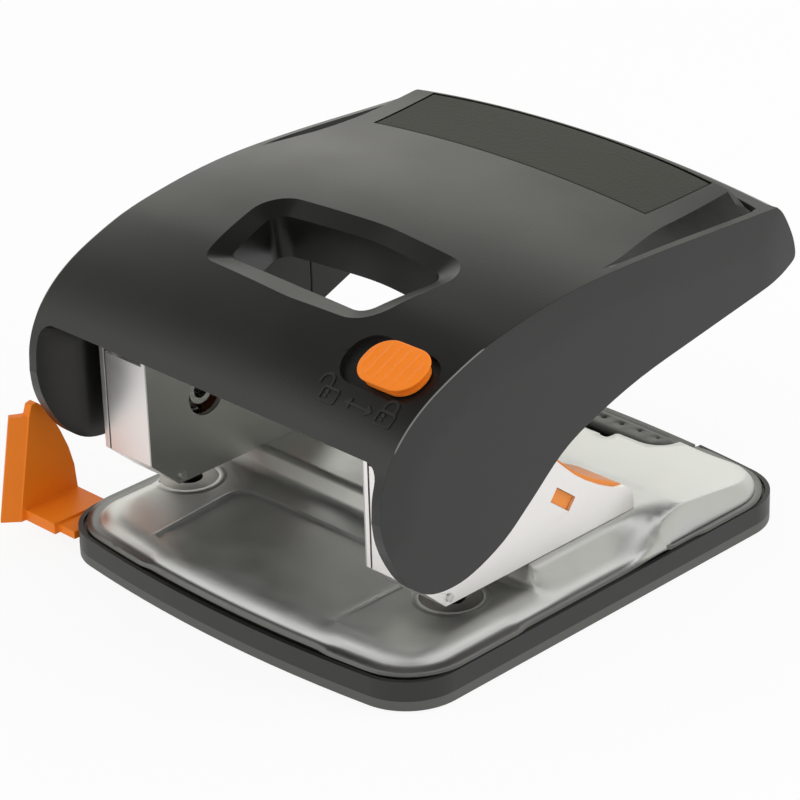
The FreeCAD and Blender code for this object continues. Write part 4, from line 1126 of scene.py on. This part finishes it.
def knob_inset(u, v):
    """How far a place lies inside the outline of the knob."""
    beside, down = (abs(c) - (half - knob_corner) for c, half in zip((u, v), knob_half))
    if beside > 0 and down > 0:
        return knob_corner - math.hypot(beside, down)
    return knob_corner - max(beside, down)


def knob_height(u, v):
    edge = min(1.0, max(0.0, knob_inset(u, v)) / knob_round)
    fall = knob_round * (1 - math.sqrt(1 - (1 - edge) ** 2))
    nearest = abs((u / grip_pitch - 0.5) - round(u / grip_pitch - 0.5)) * grip_pitch
    ends = smooth_step(knob_inset(u, v), 0.9, 1.4)
    return knob_top - fall + grip_height * ends * (1 - smooth_step(nearest, 0.0, grip_width))


def knob_loop(inset):
    a, b = (half - inset for half in knob_half)
    turn = max(0.2, knob_corner - inset)
    return rounded([(-a, -b, turn), (-a, b, turn), (a, b, turn), (a, -b, turn)], 10)


def on_knob(u, v, w):
    y, z = knob_at[1:]
    return (knob_at[0] + u, y + v * math.cos(knob_tilt) - w * math.sin(knob_tilt),
            z + v * math.sin(knob_tilt) + w * math.cos(knob_tilt))


knob_lines = []
for inset in (0.04, 0.12, 0.25, 0.4, 0.95):
    line = evenly(knob_loop(inset), 1.0)
    knob_lines.append(line + line[:1])
for k in range(-3, 3):
    u = grip_pitch * (k + 0.5)
    for side in (-grip_width, 0.0, grip_width):
        reach = next(0.1 * j for j in range(80) if knob_inset(u + side, 0.1 * j) < 1.1)
        knob_lines.append([(u + side, v) for v in across(reach, 6)])
places, faces = sheet_faces(evenly(knob_loop(0.0), 1.0), [], knob_lines, 0.9, 0.3)
knob_points = [on_knob(u, v, knob_height(u, v)) for u, v in places]
knob = sheet("lock_knob", knob_points, faces, orange, 60, knob_thickness)
place(knob, "lock", "orange_plastic", "lock_slider")

# %% The signs
sign_rise, sign_root = 0.22, 0.4


def sign_plate(loop):
    """A low plate of an outline, raised from the roof, as (points, faces)."""
    return rings([on_roof(unrolled(loop), sunk) for sunk in (sign_root, -sign_rise)])


def ribbon(line, width):
    """The outline of a band of even width along an open line."""
    left, right = [], []
    for k, (x, y) in enumerate(line):
        a, b = Vector(line[max(k - 1, 0)]), Vector(line[min(k + 1, len(line) - 1)])
        out = Vector((a.y - b.y, b.x - a.x)).normalized() * width / 2
        left.append((x + out.x, y + out.y))
        right.append((x - out.x, y - out.y))
    return left + right[::-1]


def padlock(x, y, shackle_x):
    """The shackle of a padlock and the line round its body."""
    arc = [(shackle_x + 1.5 * math.cos(math.radians(a)), y + 1.9 + 1.4 * math.sin(math.radians(a)))
           for a in range(0, 181, 20)]
    arc = [(shackle_x + 1.5, y + 1.25)] + arc + [(shackle_x - 1.5, y + 1.25)]
    frame_line = rounded([(x - 2.0, y - 1.1, 0.4), (x - 2.0, y + 1.1, 0.4), (x + 2.0, y + 1.1, 0.4),
                          (x + 2.0, y - 1.1, 0.4)], 3)
    return ribbon(arc, 0.45), frame_line


signs = []
for x, shift in ((31.0, -2.3), (46.3, 0.0)):
    shackle, frame_line = padlock(x, -52.4, x + shift)
    signs += [ribbon(frame_line + frame_line[:2], 0.42), shackle]
    signs += [circle(x - 0.6, -52.0, 0.36, 10), circle(x - 0.6, -52.75, 0.28, 10)]
arrow_y = -52.3
signs.append(ribbon([(36.2, arrow_y), (42.0, arrow_y)], 0.4))
for tip, back in ((35.4, 1), (42.8, -1)):
    signs.append([(tip, arrow_y), (tip + back * 1.5, arrow_y + 0.95), (tip + back * 1.5, arrow_y - 0.95)])
points, faces = [], []
for loop in signs:
    own_points, own_faces = sign_plate(loop)
    faces += [tuple(v + len(points) for v in face) for face in own_faces]
    points += own_points
lock_signs = new_piece("lock_signs", points, faces, rim_skin)
soften(lock_signs, 0.08)
place(lock_signs, "handle", "cover_plastic")
# %% [markdown]
# ## The working pieces
#
# Shafts, pins, springs, dies and screws are already the right shape in the frame, because they are made
# to fit. They keep their solids and get the finish of their metal or plastic, and a small fillet where
# the real piece has one.

# %% Finishes for the pieces that stay
stay = [
    (bracket_steel, 0.25, ["left_bracket", "right_bracket"]),
    (steel, 0.25, ["lever_frame", "left_lever_arm", "right_lever_arm", "lock_catch", "guide_channel"]),
    (bright_steel, 0.0, ["pivot_shaft", "nose_pins", "left_drive_pin", "right_drive_pin",
                         "bracket_rivets", "pivot_clips", "guide_stop"]),
    (dark_steel, 0.0, ["left_die", "right_die", "left_punch_pin", "right_punch_pin"]),
    (spring_metal, 0.0, ["left_return_spring", "right_return_spring"]),
    (screw_metal, 0.0, ["base_screws", "cover_screws"]),
    (cover_skin, 0.3, ["handle_cover"]),
    (pad_skin, 0.25, ["grip_pad"]),
    (orange, 0.25, ["lock_slider", "paper_guide"]),
    (block_orange, 0.3, ["left_spacer_block", "right_spacer_block"]),
    (dark_nylon, 0.2, ["left_pin_guide", "right_pin_guide", "lock_bolt"]),
    (rim_skin, 0.4, ["base_rim"]),
    (tray_skin, 0.4, ["base_pan"]),
    (mat_skin, 0.0, ["base_mat"]),
]
for look, radius, names in stay:
    for name in names:
        node = frame["nodes"][name]
        if node.hide_render:
            continue
        node.data.materials.clear()
        node.data.materials.append(look)
        if radius:
            node.modifiers.new("join", "WELD").merge_threshold = 1e-6
            soften(node, radius, angle=40.0)
print("pieces kept from the frame:", sum(not node.hide_render for node in frame["nodes"].values()))

# %% [markdown]
# ## Floor and light
#
# The punch stands on a white table in a white room. A white floor that is only lit would turn grey, so
# what the camera, the metal and the plastic see of it is mostly a plain white glow, and the rest is an
# ordinary surface that still takes a soft shadow. The room is white low down and darker overhead, which
# is what makes the front of the cover dark and its top pale. A broad light overhead is linked to the
# pressed metal alone, so its level faces shine like the room.

# %% Floor


def empty_tree(owner):
    owner.use_nodes = True
    owner.node_tree.nodes.clear()
    return owner.node_tree


floor_mesh = bpy.data.meshes.new("floor")
reach = 6.0
corners = [(-reach, -reach, 0), (reach, -reach, 0), (reach, reach, 0), (-reach, reach, 0)]
floor_mesh.from_pydata(corners, [], [(0, 1, 2, 3)])
floor = bpy.data.objects.new("floor", floor_mesh)
bpy.context.scene.collection.objects.link(floor)
table = bpy.data.materials.new("white_table")
tree = empty_tree(table)
plain = add_node(tree, "BsdfDiffuse", {"Color": (0.9, 0.9, 0.9, 1)})
glow = add_node(tree, "Emission", {"Color": (1, 1, 1, 1), "Strength": 1.0})
path = add_node(tree, "LightPath").outputs
seen = add_math(tree, "ADD", path["Is Camera Ray"], path["Is Glossy Ray"], clamp=True)
seen = add_math(tree, "ADD", seen, path["Is Transmission Ray"], clamp=True)
glow_share = add_math(tree, "MULTIPLY", seen, 0.9)
both = add_node(tree, "MixShader", {0: glow_share, 1: plain, 2: glow})
add_node(tree, "OutputMaterial", {"Surface": both})
floor_mesh.materials.append(table)
print("floor:", 2 * reach, "m square")

# %% The room
world = bpy.data.worlds.new("white_room")
bpy.context.scene.world = world
tree = empty_tree(world)
toward = add_node(tree, "TexCoord").outputs["Generated"]
height = add_node(tree, "SeparateXYZ", {0: toward}).outputs["Z"]
overhead = add_node(tree, "MapRange", {
    "Value": height, "From Min": 0.45, "From Max": 0.79, "To Min": 1.0, "To Max": 0.05},
    interpolation_type="SMOOTHSTEP")
path = add_node(tree, "LightPath").outputs
reflected = add_math(tree, "ADD", path["Is Glossy Ray"], path["Is Transmission Ray"], clamp=True)
soft = add_node(tree, "Background", {"Color": (1, 1, 1, 1), "Strength": 0.8})
far_side = add_node(tree, "VectorMath", {0: toward, 1: (-0.72, 0.69, 0.0)}, operation="DOT_PRODUCT")
glow = add_node(tree, "MapRange", {
    "Value": far_side.outputs["Value"], "From Min": 0.3, "From Max": 0.85, "To Min": 0.95, "To Max": 1.3},
    interpolation_type="SMOOTHSTEP")
bright = add_math(tree, "MULTIPLY", overhead, glow)
room = add_node(tree, "Background", {"Color": (1, 0.995, 0.93, 1), "Strength": bright})
white = add_node(tree, "Background", {"Color": (1, 1, 1, 1), "Strength": 1.0})
lit = add_node(tree, "MixShader", {0: reflected, 1: soft, 2: room})
seen_room = add_node(tree, "MixShader", {0: path["Is Camera Ray"], 1: lit, 2: white})
add_node(tree, "OutputWorld", {"Surface": seen_room})
print("room:", world.name)

# %% Lamps


def lamp(name, watts, width, place_at, aim_at):
    """A soft square lamp that looks at a point."""
    light = bpy.data.lights.new(name, "AREA")
    light.energy = watts
    light.size = width
    made = bpy.data.objects.new(name, light)
    bpy.context.scene.collection.objects.link(made)
    made.location = place_at
    made.rotation_euler = (Vector(aim_at) - Vector(place_at)).to_track_quat("-Z", "Y").to_euler()
    return made


middle = (0.0, 0.0, 0.04)
window = lamp("window_light", 1.5, 0.5, (0.45, 0.35, 0.55), middle)
window.visible_glossy = False
lamp("front_fill", 0.35, 0.5, (-0.35, -0.6, 0.4), middle)
metal_only = bpy.data.collections.new("pressed_metal")
for piece in bpy.data.objects:
    looks = piece.data.materials if piece.type == "MESH" else ()
    if looks and looks[0] in (steel, base_steel, bracket_steel):
        metal_only.objects.link(piece)
overhead_light = lamp("overhead_light", 26.0, 2.4, (-0.5, 0.48, 1.2), (-0.5, 0.48, 0.0))
overhead_light.light_linking.receiver_collection = metal_only

# %% [markdown]
# ## Camera
#
# A long lens from the right and a little above shows the front, the right side and the top together.
# The camera is turned a little about its own axis.

# %% Camera
azimuth = math.radians(45.67)
elevation = math.radians(25.95)
roll = math.radians(-1.78)
distance = 0.7089
aim = Vector((-0.0028, -0.0002, 0.030))
toward_camera = Vector((math.sin(azimuth) * math.cos(elevation), -math.cos(azimuth) * math.cos(elevation),
                        math.sin(elevation)))
right = Vector((math.cos(azimuth), math.sin(azimuth), 0.0))
up = toward_camera.cross(right)
camera_x = right * math.cos(roll) + up * math.sin(roll)
camera_y = up * math.cos(roll) - right * math.sin(roll)
camera_data = bpy.data.cameras.new("camera")
camera_data.lens = 148.5
camera_data.sensor_width = 36.0
camera = bpy.data.objects.new("camera", camera_data)
bpy.context.scene.collection.objects.link(camera)
camera.matrix_world = Matrix.Translation(aim + toward_camera * distance) @ Matrix(
    (camera_x, camera_y, toward_camera)).transposed().to_4x4()
bpy.context.scene.camera = camera
bpy.context.scene.view_settings.view_transform = "Standard"
print("camera at", [round(c, 4) for c in camera.location])
